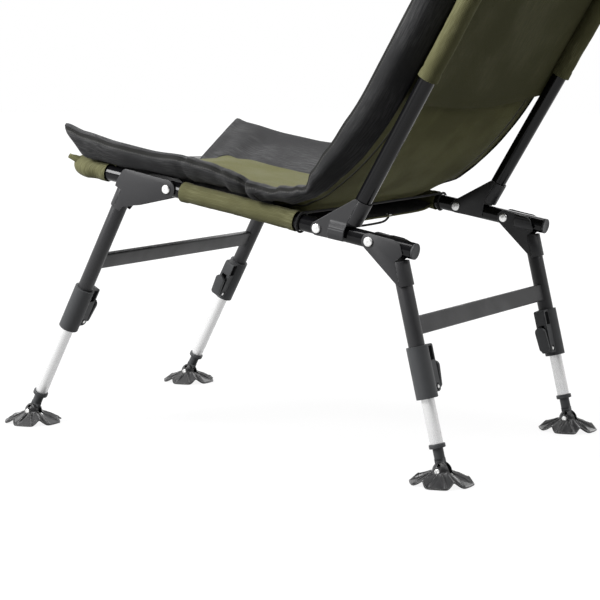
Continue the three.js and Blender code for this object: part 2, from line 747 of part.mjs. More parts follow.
// Seat cloth: sleeves on the rails and the sling that hangs between them
function seatCloth() {
  const front = hoop(railHalf, -frontSleeveEnd, frontTubeAhead, frontCornerRadius, cornerSteps, inRails);
  piece(rails, 'front_sleeve',
    bentTube(front, new THREE.Vector3(0, 0, 1), sleeveRadius, sleeveBore, tubeSides), oliveCloth);
  for (const [name, side] of sides) {
    const sleeve = pipe(sleeveRadius, sleeveBore, mainSleeveStart, mainSleeveEnd).rotateX(-Math.PI / 2);
    const mesh = piece(rails, `main_sleeve_${name}`, sleeve, oliveCloth);
    mesh.position.x = side * railX;
  }
  piece(rails, 'seat_sling', seatSling(), oliveCloth);
}

const slingHalf = railX - Math.sqrt((sleeveRadius + seat) ** 2 - slingSideDrop ** 2);

// Height of the sling's upper face across the chair at a place along the rails.
function slingHeight(x, along) {
  const toRear = THREE.MathUtils.clamp((along - bendStart) / (mainSleeveEnd - bendStart), 0, 1);
  const frontEnd = sleeveRadius + seat - frontTubeAhead;
  const toFront = THREE.MathUtils.clamp((along - frontEnd) / frontCornerRadius, 0, 1);
  const rear = THREE.MathUtils.lerp(slingSag, slingRearDrop, toRear);
  const middle = THREE.MathUtils.lerp(slingSideDrop, rear, Math.min(1, 0.3 + toFront));
  const share = Math.min(1, Math.abs(x) / slingHalf);
  const belly = 0.08 * middle * (1 - share ** 2);
  return -middle - seat - belly + (middle - slingSideDrop) * share ** 12;
}

const eyeletBehind = mainSleeveEnd - eyeletRadius;
const eyeletHeight = () => slingHeight(eyeletSide, eyeletBehind) - slingThickness / 2;

// Half width of the sling, which rounds its front corners inside those of the front tube
function cornerHalf(along) {
  const into = frontCornerRadius - frontTubeAhead - along;
  if (into <= 0) return slingHalf;
  const inside = frontCornerRadius - sleeveRadius - seat;
  return railX - frontCornerRadius + Math.sqrt(inside ** 2 - Math.min(into, inside) ** 2);
}

// The sling, with an eyelet set in each end of its rear hem
function seatSling() {
  const frontEnd = sleeveRadius + seat - frontTubeAhead;
  const narrow = [frontSleeveEnd + overrun, mainSleeveStart - overrun];
  const lines = [frontEnd, frontEnd + overrun, frontEnd + 4 * overrun, narrow[0] - overrun, narrow[0], 0, narrow[1],
    narrow[1] + overrun, bendStart, (bendStart + mainSleeveEnd) / 2, mainSleeveEnd];
  const shares = [0, 0.4, 0.7, 0.86, 0.95, 1];
  const across = [...shares.slice(1).reverse().map((s) => -s), ...shares];
  const grid = (drop) => lines.map((along) => {
    const half = along >= narrow[0] && along <= narrow[1] ? railX - slingBracketInset : cornerHalf(along);
    return across.map((share) => new THREE.Vector3(
      share * half, along, slingHeight(share * half, along) - drop));
  });
  const eyelet = (radius, half) => sides.map(([, side]) => pipe(radius, 0, -half, half, cordSides)
    .translate(side * eyeletSide, eyeletBehind, eyeletHeight()));
  const cloth = joined(slab(grid(slingThickness), grid(0)), ...eyelet(eyeletRadius, slingThickness));
  return cut(cloth, ...eyelet(eyeletHole, overrun));
}

// Elastic across the frame behind the sling, and the loop that hangs from the eyelets in the sling's hem
function elastics() {
  const wrap = pipe(elasticReach + elasticRadius, tubeRadius + seat, -elasticRadius, elasticRadius);
  const wraps = sides.map(([, side]) => wrap.clone().rotateX(Math.PI / 2).translate(side * railX, elasticBehind, 0));
  const straight = crossRod(elasticRadius, railX, elasticBehind, elasticReach, cordSides);
  piece(rails, 'rear_elastic', joined(...wraps, straight), blackRubber);
  piece(rails, 'hem_loop', hemLoop(), blackRubber);
}

// The loop is a half hoop below the hem, knotted above each eyelet's hole.
function hemLoop() {
  const steps = 12;
  const height = eyeletHeight();
  const path = Array.from({ length: steps + 1 }, (_, i) => {
    const share = 2 * i / steps - 1;
    const drop = loopSag * (1 - Math.abs(share) ** 8) + slingThickness;
    return new THREE.Vector3(share * eyeletSide, eyeletBehind, height - drop);
  });
  const knots = [-1, 1].map((side) => new THREE.Vector3(
    side * eyeletSide, eyeletBehind, height + slingThickness));
  const curve = new THREE.CatmullRomCurve3([knots[0], ...path, knots[1]]);
  const section = new THREE.Shape();
  section.absarc(0, 0, loopRadius, 0, 2 * Math.PI, false);
  return new THREE.ExtrudeGeometry(section, {
    steps: 2 * steps, extrudePath: curve, curveSegments: 3, bevelEnabled: false,
  });
}

// The mattress's underside in side view, as a path in the rail frame:
// flat on the sling, a tight bend off it, a wide bend up to the back, then straight up the back tubes.
const padLine = -slingSag;
const highBendAngle = Math.PI / 2 - backLocal;
const backLine = backTubeBehind - mattressOff;
const bendEnd = {
  y: bendStart + lowBendRadius * Math.sin(lowBendAngle),
  z: padLine + lowBendRadius * (1 - Math.cos(lowBendAngle)),
};
const offBack = backLine - (bendEnd.y - backRivetBehind) * Math.cos(backLocal) + bendEnd.z * Math.sin(backLocal);
const highBendRadius = offBack / (1 - Math.cos(highBendAngle - lowBendAngle));
const seatLength = mattressAhead + bendStart;
const lowBendLength = lowBendRadius * lowBendAngle;
const highBendLength = highBendRadius * (highBendAngle - lowBendAngle);
const highBendTop = {
  y: bendEnd.y + highBendRadius * (Math.sin(highBendAngle) - Math.sin(lowBendAngle)),
  z: bendEnd.z + highBendRadius * (Math.cos(lowBendAngle) - Math.cos(highBendAngle)),
};
const riseAtTop = (highBendTop.y - backRivetBehind) * Math.sin(backLocal) + highBendTop.z * Math.cos(backLocal);
const backLength = mattressTop - riseAtTop;
const toBend = seatLength + lowBendLength;
const toBack = toBend + highBendLength;
const pathLength = toBack + backLength;

// Place and heading angle of the path at a length from the front edge.
function pathAt(length) {
  if (length < seatLength) return { y: length - mattressAhead, z: padLine, angle: 0 };
  if (length < toBend) {
    const angle = (length - seatLength) / lowBendRadius;
    return {
      y: bendStart + lowBendRadius * Math.sin(angle),
      z: padLine + lowBendRadius * (1 - Math.cos(angle)),
      angle,
    };
  }
  if (length < toBack) {
    const angle = lowBendAngle + (length - toBend) / highBendRadius;
    return {
      y: bendEnd.y + highBendRadius * (Math.sin(angle) - Math.sin(lowBendAngle)),
      z: bendEnd.z + highBendRadius * (Math.cos(lowBendAngle) - Math.cos(angle)),
      angle,
    };
  }
  const beyond = length - toBack;
  return {
    y: highBendTop.y + beyond * Math.cos(highBendAngle),
    z: highBendTop.z + beyond * Math.sin(highBendAngle),
    angle: highBendAngle,
  };
}

// Tables along the mattress: [share of the way, share of a size].
// The wings droop from the front tip, swell twice, pinch at the fold and stand along the back.
const wingTopShares = [
  [0, 1], [0.07, 0.89], [0.15, 0.88], [0.22, 0.96], [0.258, 0.87], [0.32, 0.98], [0.365, 0.85], [0.41, 0.6],
  [0.445, 0.36], [0.458, 0.24], [0.482, 0.42], [0.5, 0.5], [0.53, 0.56], [0.58, 0.62], [0.67, 0.64], [0.97, 0.64],
  [1, 0.5],
];
const wingLowShares = [
  [0, 1.15], [0.025, 0.82], [0.1, 0.71], [0.18, 0.85], [0.22, 1], [0.31, 1], [0.39, 0.57], [0.42, 0.22],
  [0.46, 0.06], [0.52, 0.03], [1, 0.02],
];
const padShares = [[0, 0.5], [0.03, 0.85], [0.08, 1], [0.42, 1], [0.458, 0.72], [0.5, 1], [0.97, 1], [1, 0.55]];

// How far a place on the front edge lies behind the wings' tips. The middle of the edge stays behind
// the front tube, the wings reach over the tube's corners, and their undersides are cut back.
function frontSetback(x, under) {
  const wing = THREE.MathUtils.smoothstep(Math.abs(x), middleHalf, railX - cheekOut);
  const tip = THREE.MathUtils.smoothstep(Math.abs(x), railX - cheekOut, railX + cheekOut);
  return middleSetback * (1 - wing) + (under ? underSetback * tip : 0);
}

// The setback at a length along the mattress, where it fades out.
function frontShift(length, x, under) {
  return frontSetback(x, under) * (1 - THREE.MathUtils.smoothstep(length, 0, frontReach));
}

// Extra height at the front: the middle lies on the rise of the sling, and the wings climb over the tube.
function frontClimb(x, along) {
  const fade = (from, reach) => 1 - THREE.MathUtils.smoothstep(along, from, from + reach);
  const overTube = (sleeveRadius + seat + slingSag)
    * fade(sleeveRadius + 2 * overrun - frontTubeAhead, frontCornerRadius);
  const onSling = middleClimb * fade(sleeveRadius - frontTubeAhead, climbReach);
  const wing = THREE.MathUtils.smoothstep(Math.abs(x), middleHalf, wingStart);
  return THREE.MathUtils.lerp(onSling, overTube, wing);
}

// One cross-section: heights of the underside and of the top at places from the middle outwards.
function mattressSection(length) {
  const share = length / pathLength;
  const wingTop = wingRise * tableAt(wingTopShares, share);
  const low = seatWingDrop * tableAt(wingLowShares, share);
  const drop = Math.min(1, low / seatWingDrop);
  const front = 1 - THREE.MathUtils.smoothstep(length, 0, frontReach);
  const climb = (x, under = false) => frontClimb(x, length - mattressAhead + frontShift(length, x, under));
  const overRail = (slingSag + cheekOut + seat + sheet) * Math.min(1, 1.7 * drop);
  const lowEdge = THREE.MathUtils.lerp(railX + backWingOver, mattressHalf, drop);
  const thickness = tableAt(padShares, share);
  const crown = padCrown * thickness;
  const inner = railX - cheekOut;
  const pad = (x) => climb(x) + padThickness * thickness;
  const wing = Math.max(wingTop, pad(mattressHalf));
  const between = (x, amount) => THREE.MathUtils.lerp(pad(x), wing, amount * (1 - front / 2));
  const lower = [
    [0, 0], [wingStart / 2, 0], [0.8 * wingStart, 0], [wingStart, 0],
    [inner - 2 * rivetHeadRadius - cheekOut, 0.12 * overRail], [inner - rivetHeadRadius, 0.6 * overRail],
    [inner - seat, overRail], [railX + seat, overRail + seat], [lowEdge - seat, low - seat], [lowEdge, low],
  ].map(([x, height]) => [x, Math.max(height, climb(x, true))]);
  const swell = (x, amount) => [x, pad(x) + amount * crown];
  const upper = [
    swell(0, 1), swell(wingStart / 2, 0.75), swell(0.8 * wingStart, 0.2),
    [wingStart, pad(wingStart) - seamDepth * thickness], swell(1.08 * wingStart, 0.2),
    [0.8 * inner, between(0.8 * inner, 0.22)], [inner, between(inner, 0.6)],
    [mattressHalf - 2 * edgeThickness, between(mattressHalf, 0.97)],
    [mattressHalf - edgeThickness, wing], [mattressHalf - edgeRound, Math.max(wing - edgeThickness, low + seat)],
  ];
  return { lower, upper };
}

// A stretch of the mattress between two lengths along its underside.
function mattress(from, to, steps) {
  const grid = (key) => Array.from({ length: steps + 1 }, (_, i) => {
    const length = THREE.MathUtils.lerp(from, to, i / steps);
    const { y, z, angle } = pathAt(length);
    const right = mattressSection(length)[key].map(([x, height]) => new THREE.Vector3(
      x, y + frontShift(length, x, key === 'lower') - height * Math.sin(angle), z + height * Math.cos(angle)));
    const left = right.slice(1).reverse().map((p) => new THREE.Vector3(-p.x, p.y, p.z));
    return [...left, ...right];
  });
  return slab(grid('lower'), grid('upper'));
}

seatFrame();
backrest();
legPair(frontLegs, 'front', {
  bracket: frontBracket,
  legY: -frontLegAhead,
  tubeDrop: frontTubeDrop,
  barDrop: frontBarDrop,
  clampDrop: frontClampDrop,
  footDrop: frontFootDrop,
  innerLength: frontInnerLength,
  level: frontLean,
});
legPair(rearLegs, 'rear', {
  bracket: rearBracket,
  legY: rearLegBehind,
  tubeDrop: rearTubeDrop,
  barDrop: rearBarDrop,
  clampDrop: rearClampDrop,
  footDrop: rearFootDrop,
  innerLength: rearInnerLength,
  level: -rearLean,
});
seatCloth();
elastics();
piece(rails, 'seat_mattress', mattress(0, seatLength, 14), blackCloth);
piece(rails, 'mattress_bend', mattress(seatLength + seat, toBack, 13), blackCloth);
piece(rails, 'back_mattress', mattress(toBack + seat, pathLength, 6), blackCloth);

// The origin is on the ground at the middle of the whole chair.
chair.updateMatrixWorld(true);
const bounds = new THREE.Box3().setFromObject(chair, true);
const middle = bounds.getCenter(new THREE.Vector3());
chair.position.set(-middle.x, -middle.y, -bounds.min.z);

export default chair;
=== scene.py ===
# %% [markdown]
# # A folding carp fishing chair
# A low chair for a river bank. Black steel tube makes the seat frame, the folding back and two pairs
# of legs. Bright inner legs slide in the black ones, cam levers clamp them, and each stands on a
# swivelling mud foot. Olive cloth is sewn round the tubes, and one quilted mattress lies over it.
#
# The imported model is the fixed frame. Each new piece takes its place from the frame's own pieces,
# so nothing is fitted by eye, and each stands for the plain solid that it covers.

# %% Load the frame
import json
import math
import bpy
import bmesh
from mathutils import Matrix, Vector, noise


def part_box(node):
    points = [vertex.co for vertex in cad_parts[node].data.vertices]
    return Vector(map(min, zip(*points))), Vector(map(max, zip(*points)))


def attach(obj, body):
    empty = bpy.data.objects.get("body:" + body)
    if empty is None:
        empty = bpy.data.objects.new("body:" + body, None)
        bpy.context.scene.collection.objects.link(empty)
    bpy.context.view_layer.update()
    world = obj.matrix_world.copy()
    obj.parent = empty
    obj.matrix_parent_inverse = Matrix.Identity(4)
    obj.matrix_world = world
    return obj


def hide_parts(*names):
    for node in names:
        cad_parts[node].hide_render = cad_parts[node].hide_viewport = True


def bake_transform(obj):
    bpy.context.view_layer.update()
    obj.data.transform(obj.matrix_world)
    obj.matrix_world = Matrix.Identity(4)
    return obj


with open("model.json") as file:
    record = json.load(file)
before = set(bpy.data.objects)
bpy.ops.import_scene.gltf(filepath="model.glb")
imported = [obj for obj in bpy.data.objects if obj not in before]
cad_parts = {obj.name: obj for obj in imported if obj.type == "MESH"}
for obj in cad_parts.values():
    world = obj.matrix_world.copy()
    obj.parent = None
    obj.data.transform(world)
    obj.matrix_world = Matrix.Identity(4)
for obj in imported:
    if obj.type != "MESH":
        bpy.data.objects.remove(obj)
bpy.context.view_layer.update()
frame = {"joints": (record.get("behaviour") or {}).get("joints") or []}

# %% [markdown]
# ## Where things are
# Each rivet of the chair is a turning point, so the middle of a rivet is the natural origin for what
# hangs on it. Four frames follow: the rails, both pairs of legs and the back. In each one, z runs
# along its tubes and x across the chair. A matrix takes a point from such a frame to the chair.

# %% Frames at the rivets
def middle_of(node):
    low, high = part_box(node)
    return (low + high) / 2


def frame_at(node, lean):
    place = middle_of(node)
    return Matrix.Translation((0, place.y, place.z)) @ Matrix.Rotation(math.radians(lean), 4, "X")


RAIL_TILT = -9.2
FRONT_LEAN = -28
REAR_LEAN = 14.1
BACK_LEAN = -30.5
on_rails = frame_at("front_leg_rivet_left", RAIL_TILT)
on_front = frame_at("front_leg_rivet_left", FRONT_LEAN)
on_rear = frame_at("rear_leg_rivet_left", REAR_LEAN)
on_back = frame_at("backrest_rivet_left", BACK_LEAN)
SIDES = (("left", 1), ("right", -1))
RAIL_X = middle_of("seat_rail_left").x
print("front rivet", tuple(round(c, 4) for c in on_rails.translation), "rail x", round(RAIL_X, 4))

# %% [markdown]
# ## Camera
# The picture is taken from behind the chair's left side, a little above the seat, with a long lens.
# The camera's place was found by fitting the rivets and feet of the frame to their places in the
# picture. Its axes come from a yaw, a pitch and a small roll, and the lens gives the picture's scale.

# %% Place the camera
LENS = 106.93
YAW, PITCH, ROLL = (math.radians(angle) for angle in (212.40, 8.14, 0.27))
EYE_FROM_RIVET = Vector((2.5045, 1.68805, 0.22685))


def camera_axes(yaw, pitch, roll):
    ahead = Vector((math.cos(pitch) * math.cos(yaw), math.cos(pitch) * math.sin(yaw), -math.sin(pitch)))
    right = ahead.cross(Vector((0, 0, 1))).normalized()
    up = right.cross(ahead)
    level_right = right * math.cos(roll) + up * math.sin(roll)
    level_up = up * math.cos(roll) - right * math.sin(roll)
    return level_right, level_up, -ahead


camera_data = bpy.data.cameras.new("camera")
camera = bpy.data.objects.new("camera", camera_data)
bpy.context.scene.collection.objects.link(camera)
camera_data.sensor_width = 36
camera_data.lens = LENS
camera_data.clip_end = 60
turn = Matrix(camera_axes(YAW, PITCH, ROLL)).transposed()
eye = on_rails.translation + EYE_FROM_RIVET
camera.matrix_world = Matrix.Translation(eye) @ turn.to_4x4()
bpy.context.scene.camera = camera
bpy.context.scene.view_settings.view_transform = "Standard"
print("camera", tuple(round(c, 3) for c in eye))

# %% [markdown]
# ## Nodes
# The floor, the world and every finish are built of nodes. These helpers add one node each, feed its
# inputs with plain values or with what other nodes put out, and hand back what it puts out itself.

# %% Helpers: nodes
def feed(tree, node, values):
    """Set each input to a plain value, or wire it to another node's output."""
    for key, value in values.items():
        if isinstance(value, bpy.types.NodeSocket):
            tree.links.new(value, node.inputs[key])
        else:
            node.inputs[key].default_value = value


def math_node(tree, operation, *values):
    node = tree.nodes.new("ShaderNodeMath")
    node.operation = operation
    feed(tree, node, dict(enumerate(values)))
    return node.outputs[0]


def vector_node(tree, operation, *vectors):
    node = tree.nodes.new("ShaderNodeVectorMath")
    node.operation = operation
    feed(tree, node, dict(enumerate(vectors)))
    return node.outputs["Value" if operation in ("LENGTH", "DOT_PRODUCT") else "Vector"]


def ramp_node(tree, value, low, high, to_low=0.0, to_high=1.0, shape="SMOOTHSTEP"):
    node = tree.nodes.new("ShaderNodeMapRange")
    node.interpolation_type = shape
    feed(tree, node, dict(enumerate((value, low, high, to_low, to_high))))
    return node.outputs["Result"]


def mix_values(tree, factor, first, second):
    node = tree.nodes.new("ShaderNodeMix")
    feed(tree, node, {"Factor": factor, "A": first, "B": second})
    return node.outputs["Result"]


def mix_colours(tree, factor, first, second):
    node = tree.nodes.new("ShaderNodeMix")
    node.data_type = "RGBA"
    a, b = (index for index, socket in enumerate(node.inputs) if socket.type == "RGBA")
    feed(tree, node, {"Factor": factor, a: first, b: second})
    return next(socket for socket in node.outputs if socket.type == "RGBA")


def noise_node(tree, vector, scale, detail, roughness=0.55):
    node = tree.nodes.new("ShaderNodeTexNoise")
    feed(tree, node, {"Vector": vector, "Scale": scale, "Detail": detail, "Roughness": roughness})
    return node.outputs["Fac"]


def bump_node(tree, height, strength, distance):
    node = tree.nodes.new("ShaderNodeBump")
    feed(tree, node, {"Height": height, "Strength": strength, "Distance": distance})
    return node


def new_finish(name):
    material = bpy.data.materials.new(name)
    material.use_nodes = True
    return material, material.node_tree, material.node_tree.nodes["Principled BSDF"]


# %% [markdown]
# ## Floor and light
# The picture is a studio shot on white. The floor is a wide pale sheet that keeps the chair's
# shadow. The camera, and anything glossy, sees floor and world brighter than they light the scene.
# Large soft lamps stand round the chair, at a level at which a colour renders as it is written.

# %% Floor, world and lamps
TO_CAMERA = (0.80, 0.56, 0.12)
FLOOR_RADIUS = 14
FLOOR_GREY = (0.12, 0.12, 0.12, 1)
WHITE = (1, 1, 1, 1)
UNDER_CHAIR, BEYOND = (0.9, 0.9), (3.0, 1.05)
DARK_SIDE, PALE_SIDE = (0.8, 0.16), (0.1, 1.0)
WORLD_LIGHT = 0.1
SEAT_MIDDLE = Vector((0, 0, 0.4))


def seen_directly(tree):
    """1 for rays of the camera, and for those that metal or glass sends on."""
    path = tree.nodes.new("ShaderNodeLightPath").outputs
    either = math_node(tree, "MAXIMUM", path["Is Camera Ray"], path["Is Glossy Ray"])
    return math_node(tree, "MAXIMUM", either, path["Is Transmission Ray"])


def make_floor():
    bpy.ops.object.select_all(action="DESELECT")
    bpy.ops.mesh.primitive_circle_add(vertices=96, radius=FLOOR_RADIUS, fill_type="NGON")
    floor = bpy.context.object
    floor.name = "studio_floor"
    material, tree, shader = new_finish("studio_floor")
    away = vector_node(tree, "LENGTH", tree.nodes.new("ShaderNodeTexCoord").outputs["Object"])
    (near, low), (far, high) = UNDER_CHAIR, BEYOND
    glow = ramp_node(tree, away, near, far, low, high, "LINEAR")
    feed(tree, shader, {
        "Base Color": FLOOR_GREY, "Roughness": 1, "Specular IOR Level": 0, "Emission Color": WHITE,
        "Emission Strength": math_node(tree, "MULTIPLY", seen_directly(tree), glow)})
    floor.data.materials.append(material)


def make_world():
    """White to the camera, dim as light, and in gloss a white that darkens towards the camera."""
    world = bpy.data.worlds.new("studio_world")
    bpy.context.scene.world = world
    world.use_nodes = True
    tree = world.node_tree
    path = tree.nodes.new("ShaderNodeLightPath").outputs
    heading = tree.nodes.new("ShaderNodeTexCoord").outputs["Generated"]
    facing = vector_node(tree, "DOT_PRODUCT", heading, TO_CAMERA)
    (pale_at, pale), (dark_at, dark) = PALE_SIDE, DARK_SIDE
    in_gloss = ramp_node(tree, facing, pale_at, dark_at, pale, dark, "LINEAR")
    mirrored = mix_values(tree, path["Is Glossy Ray"], WORLD_LIGHT, in_gloss)
    feed(tree, tree.nodes["Background"], {
        "Color": WHITE, "Strength": mix_values(tree, path["Is Camera Ray"], mirrored, 1)})


def add_lamp(name, place, size, power):
    data = bpy.data.lights.new(name, "AREA")
    data.shape = "RECTANGLE"
    data.size, data.size_y = size
    data.energy = power
    lamp = bpy.data.objects.new(name, data)
    bpy.context.scene.collection.objects.link(lamp)
    lamp.location = place
    lamp.rotation_euler = (SEAT_MIDDLE - Vector(place)).to_track_quat("-Z", "Y").to_euler()


make_floor()
make_world()
add_lamp("lamp_over", (0.2, 0.1, 3.0), (2.2, 2.2), 95)
add_lamp("lamp_left", (2.9, -2.1, 2.4), (1.6, 2.0), 215)
add_lamp("lamp_right", (-0.2, 3.4, 2.6), (1.4, 2.0), 30)
add_lamp("lamp_back", (-3.0, -0.6, 2.0), (1.6, 2.0), 25)
print("lamps", [light.name for light in bpy.data.lights])

# %% [markdown]
# ## Shared effects
# Real surfaces are never even. Paint has a fine orange peel and rubbed edges, moulded plastic a
# grain, and cloth a weave. Their paler edges are partly rubbing and partly painted edge highlight.
# Each effect is a node group, built once and used with its own values.
# A group gives out only a colour, a mask or a height, so the shader stays in the material.

# %% Helpers: node groups
def new_group(name, inputs, outputs):
    tree = bpy.data.node_groups.new(name, "ShaderNodeTree")
    tree.interface.new_socket(name="Vector", in_out="INPUT", socket_type="NodeSocketVector")
    for label, value in inputs.items():
        socket = tree.interface.new_socket(name=label, in_out="INPUT", socket_type="NodeSocketFloat")
        socket.default_value = value
    for label in outputs:
        tree.interface.new_socket(name=label, in_out="OUTPUT", socket_type="NodeSocketFloat")
    return tree, tree.nodes.new("NodeGroupInput").outputs, tree.nodes.new("NodeGroupOutput")


def place_group(tree, group, values):
    node = tree.nodes.new("ShaderNodeGroup")
    node.node_tree = group
    feed(tree, node, values)
    return node.outputs


# %% Effect: grain of paint and plastic
def build_grain():
    tree, given, result = new_group(
        "surface_grain", {"Scale": 900.0, "Patch Scale": 14.0}, ("Height", "Patches"))
    wide = noise_node(tree, given["Vector"], given["Patch Scale"], 4)
    feed(tree, result, {"Height": noise_node(tree, given["Vector"], given["Scale"], 2),
                        "Patches": ramp_node(tree, wide, 0.35, 0.68)})
    return tree


# %% Effect: rubbed edges and painted edge highlights
def build_edge_wear_and_highlight():
    tree, given, result = new_group("edge_wear_and_highlight", {"Width": 0.0012, "Amount": 0.6}, ("Mask",))
    # Paler edges: partly rubbed paint or plastic, partly a painted highlight along the rims.
    round_edge = tree.nodes.new("ShaderNodeBevel")
    round_edge.samples = 4
    feed(tree, round_edge, {"Radius": given["Width"]})
    surface = tree.nodes.new("ShaderNodeNewGeometry").outputs["Normal"]
    alike = vector_node(tree, "DOT_PRODUCT", round_edge.outputs["Normal"], surface)
    edge = ramp_node(tree, alike, 0.99, 0.80)
    broken = ramp_node(tree, noise_node(tree, given["Vector"], 160.0, 4), 0.42, 0.62)
    patchy_edge = math_node(tree, "MULTIPLY", edge, broken)
    feed(tree, result, {"Mask": math_node(tree, "MULTIPLY", patchy_edge, given["Amount"])})
    return tree


# %% Effect: woven cloth
def build_weave():
    tree, given, result = new_group("woven_cloth", {"Threads": 900.0}, ("Height", "Gaps", "Slubs"))
    split = tree.nodes.new("ShaderNodeSeparateXYZ")
    feed(tree, split, {0: given["Vector"]})
    threads = math_node(tree, "MULTIPLY", given["Threads"], 2 * math.pi)
    warp, weft = (math_node(tree, "SINE", math_node(tree, "MULTIPLY", split.outputs[axis], threads))
                  for axis in range(2))
    over = math_node(tree, "MULTIPLY", math_node(tree, "MULTIPLY", warp, weft), 0.4)
    crowns = math_node(tree, "MAXIMUM", math_node(tree, "ABSOLUTE", warp),
                       math_node(tree, "ABSOLUTE", weft))
    stretched = vector_node(tree, "MULTIPLY", given["Vector"], (1, 0.08, 1))
    feed(tree, result, {"Height": math_node(tree, "ADD", over, crowns),
                        "Gaps": ramp_node(tree, crowns, 0.9, 0.35),
                        "Slubs": ramp_node(tree, noise_node(tree, stretched, 420.0, 4), 0.38, 0.66)})
    return tree


GRAIN = build_grain()
EDGE_WEAR_AND_HIGHLIGHT = build_edge_wear_and_highlight()
WEAVE = build_weave()
print("node groups", [group.name for group in bpy.data.node_groups])

# %% [markdown]
# ## Paint, plastic and metal
# The tubes are powder coated black with a soft gloss. Clamps are moulded charcoal plastic, feet a
# darker one, inner legs bright drawn alloy and rivets polished steel. A finish is the base colour
# with patches, a grain for bump, and paler edges that are partly rubbing and partly painted
# edge highlight.

# %% Helper: a finish on a hard surface
COAT_ROUGHNESS = 0.08


def darker(colour, share):
    return tuple(share * part for part in colour[:3]) + (1,)


def hard_finish(name, colour, wear_and_highlight_colour, roughness, metallic=0.0, grain=900.0, bump=0.12, wear_and_highlight=0.5,
                coat=0.0, stretch=None, specular=0.5):
    material, tree, shader = new_finish(name)
    place = tree.nodes.new("ShaderNodeTexCoord").outputs["UV" if stretch else "Object"]
    if stretch:
        mapping = tree.nodes.new("ShaderNodeMapping")
        feed(tree, mapping, {"Vector": place, "Scale": stretch})
        place = mapping.outputs["Vector"]
    grains = place_group(tree, GRAIN, {"Vector": place, "Scale": grain})
    # Paler edge colour: partly rubbing, partly painted edge highlight.
    edges = place_group(tree, EDGE_WEAR_AND_HIGHLIGHT, {"Vector": place, "Amount": wear_and_highlight})
    body = mix_colours(tree, grains["Patches"], darker(colour, 0.82), colour)
    lift = bump_node(tree, grains["Height"], bump, 0.0004)
    feed(tree, shader, {
        "Base Color": mix_colours(tree, edges["Mask"], body, wear_and_highlight_colour),
        "Roughness": ramp_node(tree, grains["Patches"], 0, 1, roughness * 1.15, roughness * 0.9),
        "Normal": lift.outputs["Normal"], "Metallic": metallic, "Coat Weight": coat,
        "Coat Roughness": COAT_ROUGHNESS, "Specular IOR Level": specular})
    return material


# %% Hard finishes
# The pale edge colours, strongest on brackets, clamps and feet, are partly rubbing and partly painted edge
# highlight.
PAINT = hard_finish("black_powder_paint", (0.028, 0.028, 0.030, 1), (0.16, 0.16, 0.16, 1),
                    0.40, grain=1400, bump=0.16, wear_and_highlight=0.35, specular=0.35)
SHEET_PAINT = hard_finish("bracket_paint", (0.036, 0.036, 0.038, 1), (0.34, 0.34, 0.34, 1),
                          0.4, grain=1600, bump=0.24, wear_and_highlight=0.8, specular=0.3)
GLOSS = hard_finish("glossy_tube_paint", (0.007, 0.007, 0.008, 1), (0.1, 0.1, 0.1, 1),
                    0.15, grain=700, bump=0.04, wear_and_highlight=0.2, coat=0.12, specular=0.16)
PLASTIC = hard_finish("charcoal_plastic", (0.058, 0.060, 0.063, 1), (0.16, 0.16, 0.16, 1),
                      0.5, grain=2200, bump=0.26, wear_and_highlight=0.6, specular=0.35)
FOOT_PLASTIC = hard_finish("foot_plastic", (0.024, 0.024, 0.025, 1), (0.42, 0.42, 0.40, 1),
                           0.3, grain=1200, bump=0.2, wear_and_highlight=0.95, specular=0.4)
ALLOY = hard_finish("drawn_alloy", (0.93, 0.93, 0.93, 1), (0.97, 0.97, 0.97, 1),
                    0.28, metallic=0.5, grain=60, bump=0.06, wear_and_highlight=0.1, stretch=(40, 0.6, 1))
STEEL = hard_finish("polished_rivet", (0.93, 0.93, 0.92, 1), (0.97, 0.97, 0.97, 1),
                    0.3, metallic=0.8, grain=500, bump=0.08, wear_and_highlight=0.1)

# %% [markdown]
# ## Cloth
# Olive cloth is a coated plain weave, so threads show as a fine grid and slubs as faint streaks. The
# quilt's black cloth is brushed, and so softer, paler at grazing angles and without a visible grid.
# The weave runs on the piece's own UV map, laid out in metres, so that it keeps its real size.

# %% Helper: a cloth finish
def cloth_finish(name, colour, pale, roughness, threads, sheen, bump=0.5):
    material, tree, shader = new_finish(name)
    places = tree.nodes.new("ShaderNodeTexCoord").outputs
    weave = place_group(tree, WEAVE, {"Vector": places["UV"], "Threads": threads})
    grains = place_group(tree, GRAIN, {"Vector": places["Object"], "Scale": 1700, "Patch Scale": 9})
    slubby = mix_colours(tree, weave["Slubs"], colour, pale)
    patched = mix_colours(tree, grains["Patches"], colour, slubby)
    gaps = math_node(tree, "MULTIPLY", weave["Gaps"], 0.8)
    nap = math_node(tree, "MULTIPLY", grains["Height"], 0.8)
    lift = bump_node(tree, math_node(tree, "ADD", weave["Height"], nap), bump, 0.0005)
    feed(tree, shader, {
        "Base Color": mix_colours(tree, gaps, patched, darker(colour, 0.62)),
        "Roughness": ramp_node(tree, grains["Patches"], 0, 1, roughness * 1.06, roughness * 0.94),
        "Normal": lift.outputs["Normal"], "Sheen Weight": sheen, "Sheen Roughness": 0.45,
        "Specular IOR Level": 0.15})
    return material


# %% Cloth finishes
OLIVE = cloth_finish("olive_cloth", (0.135, 0.132, 0.062, 1), (0.25, 0.245, 0.13, 1),
                     0.82, 230, 0.05, 0.7)
BLACK_QUILT = cloth_finish("black_quilt", (0.028, 0.028, 0.029, 1), (0.068, 0.068, 0.069, 1),
                           0.8, 700, 0.03, 0.3)
# The back sling's olive is the same cloth painted darker: painted shade for the shade it lies in.
OLIVE_PAINTED_SHADE = cloth_finish("back_olive_painted_shade", (0.058, 0.057, 0.021, 1), (0.088, 0.086, 0.036, 1),
                            0.82, 230, 0.03, 0.5)
CORD = cloth_finish("elastic_braid", (0.012, 0.012, 0.012, 1), (0.03, 0.03, 0.03, 1), 0.7, 900, 0.1)
print("materials", len(bpy.data.materials))

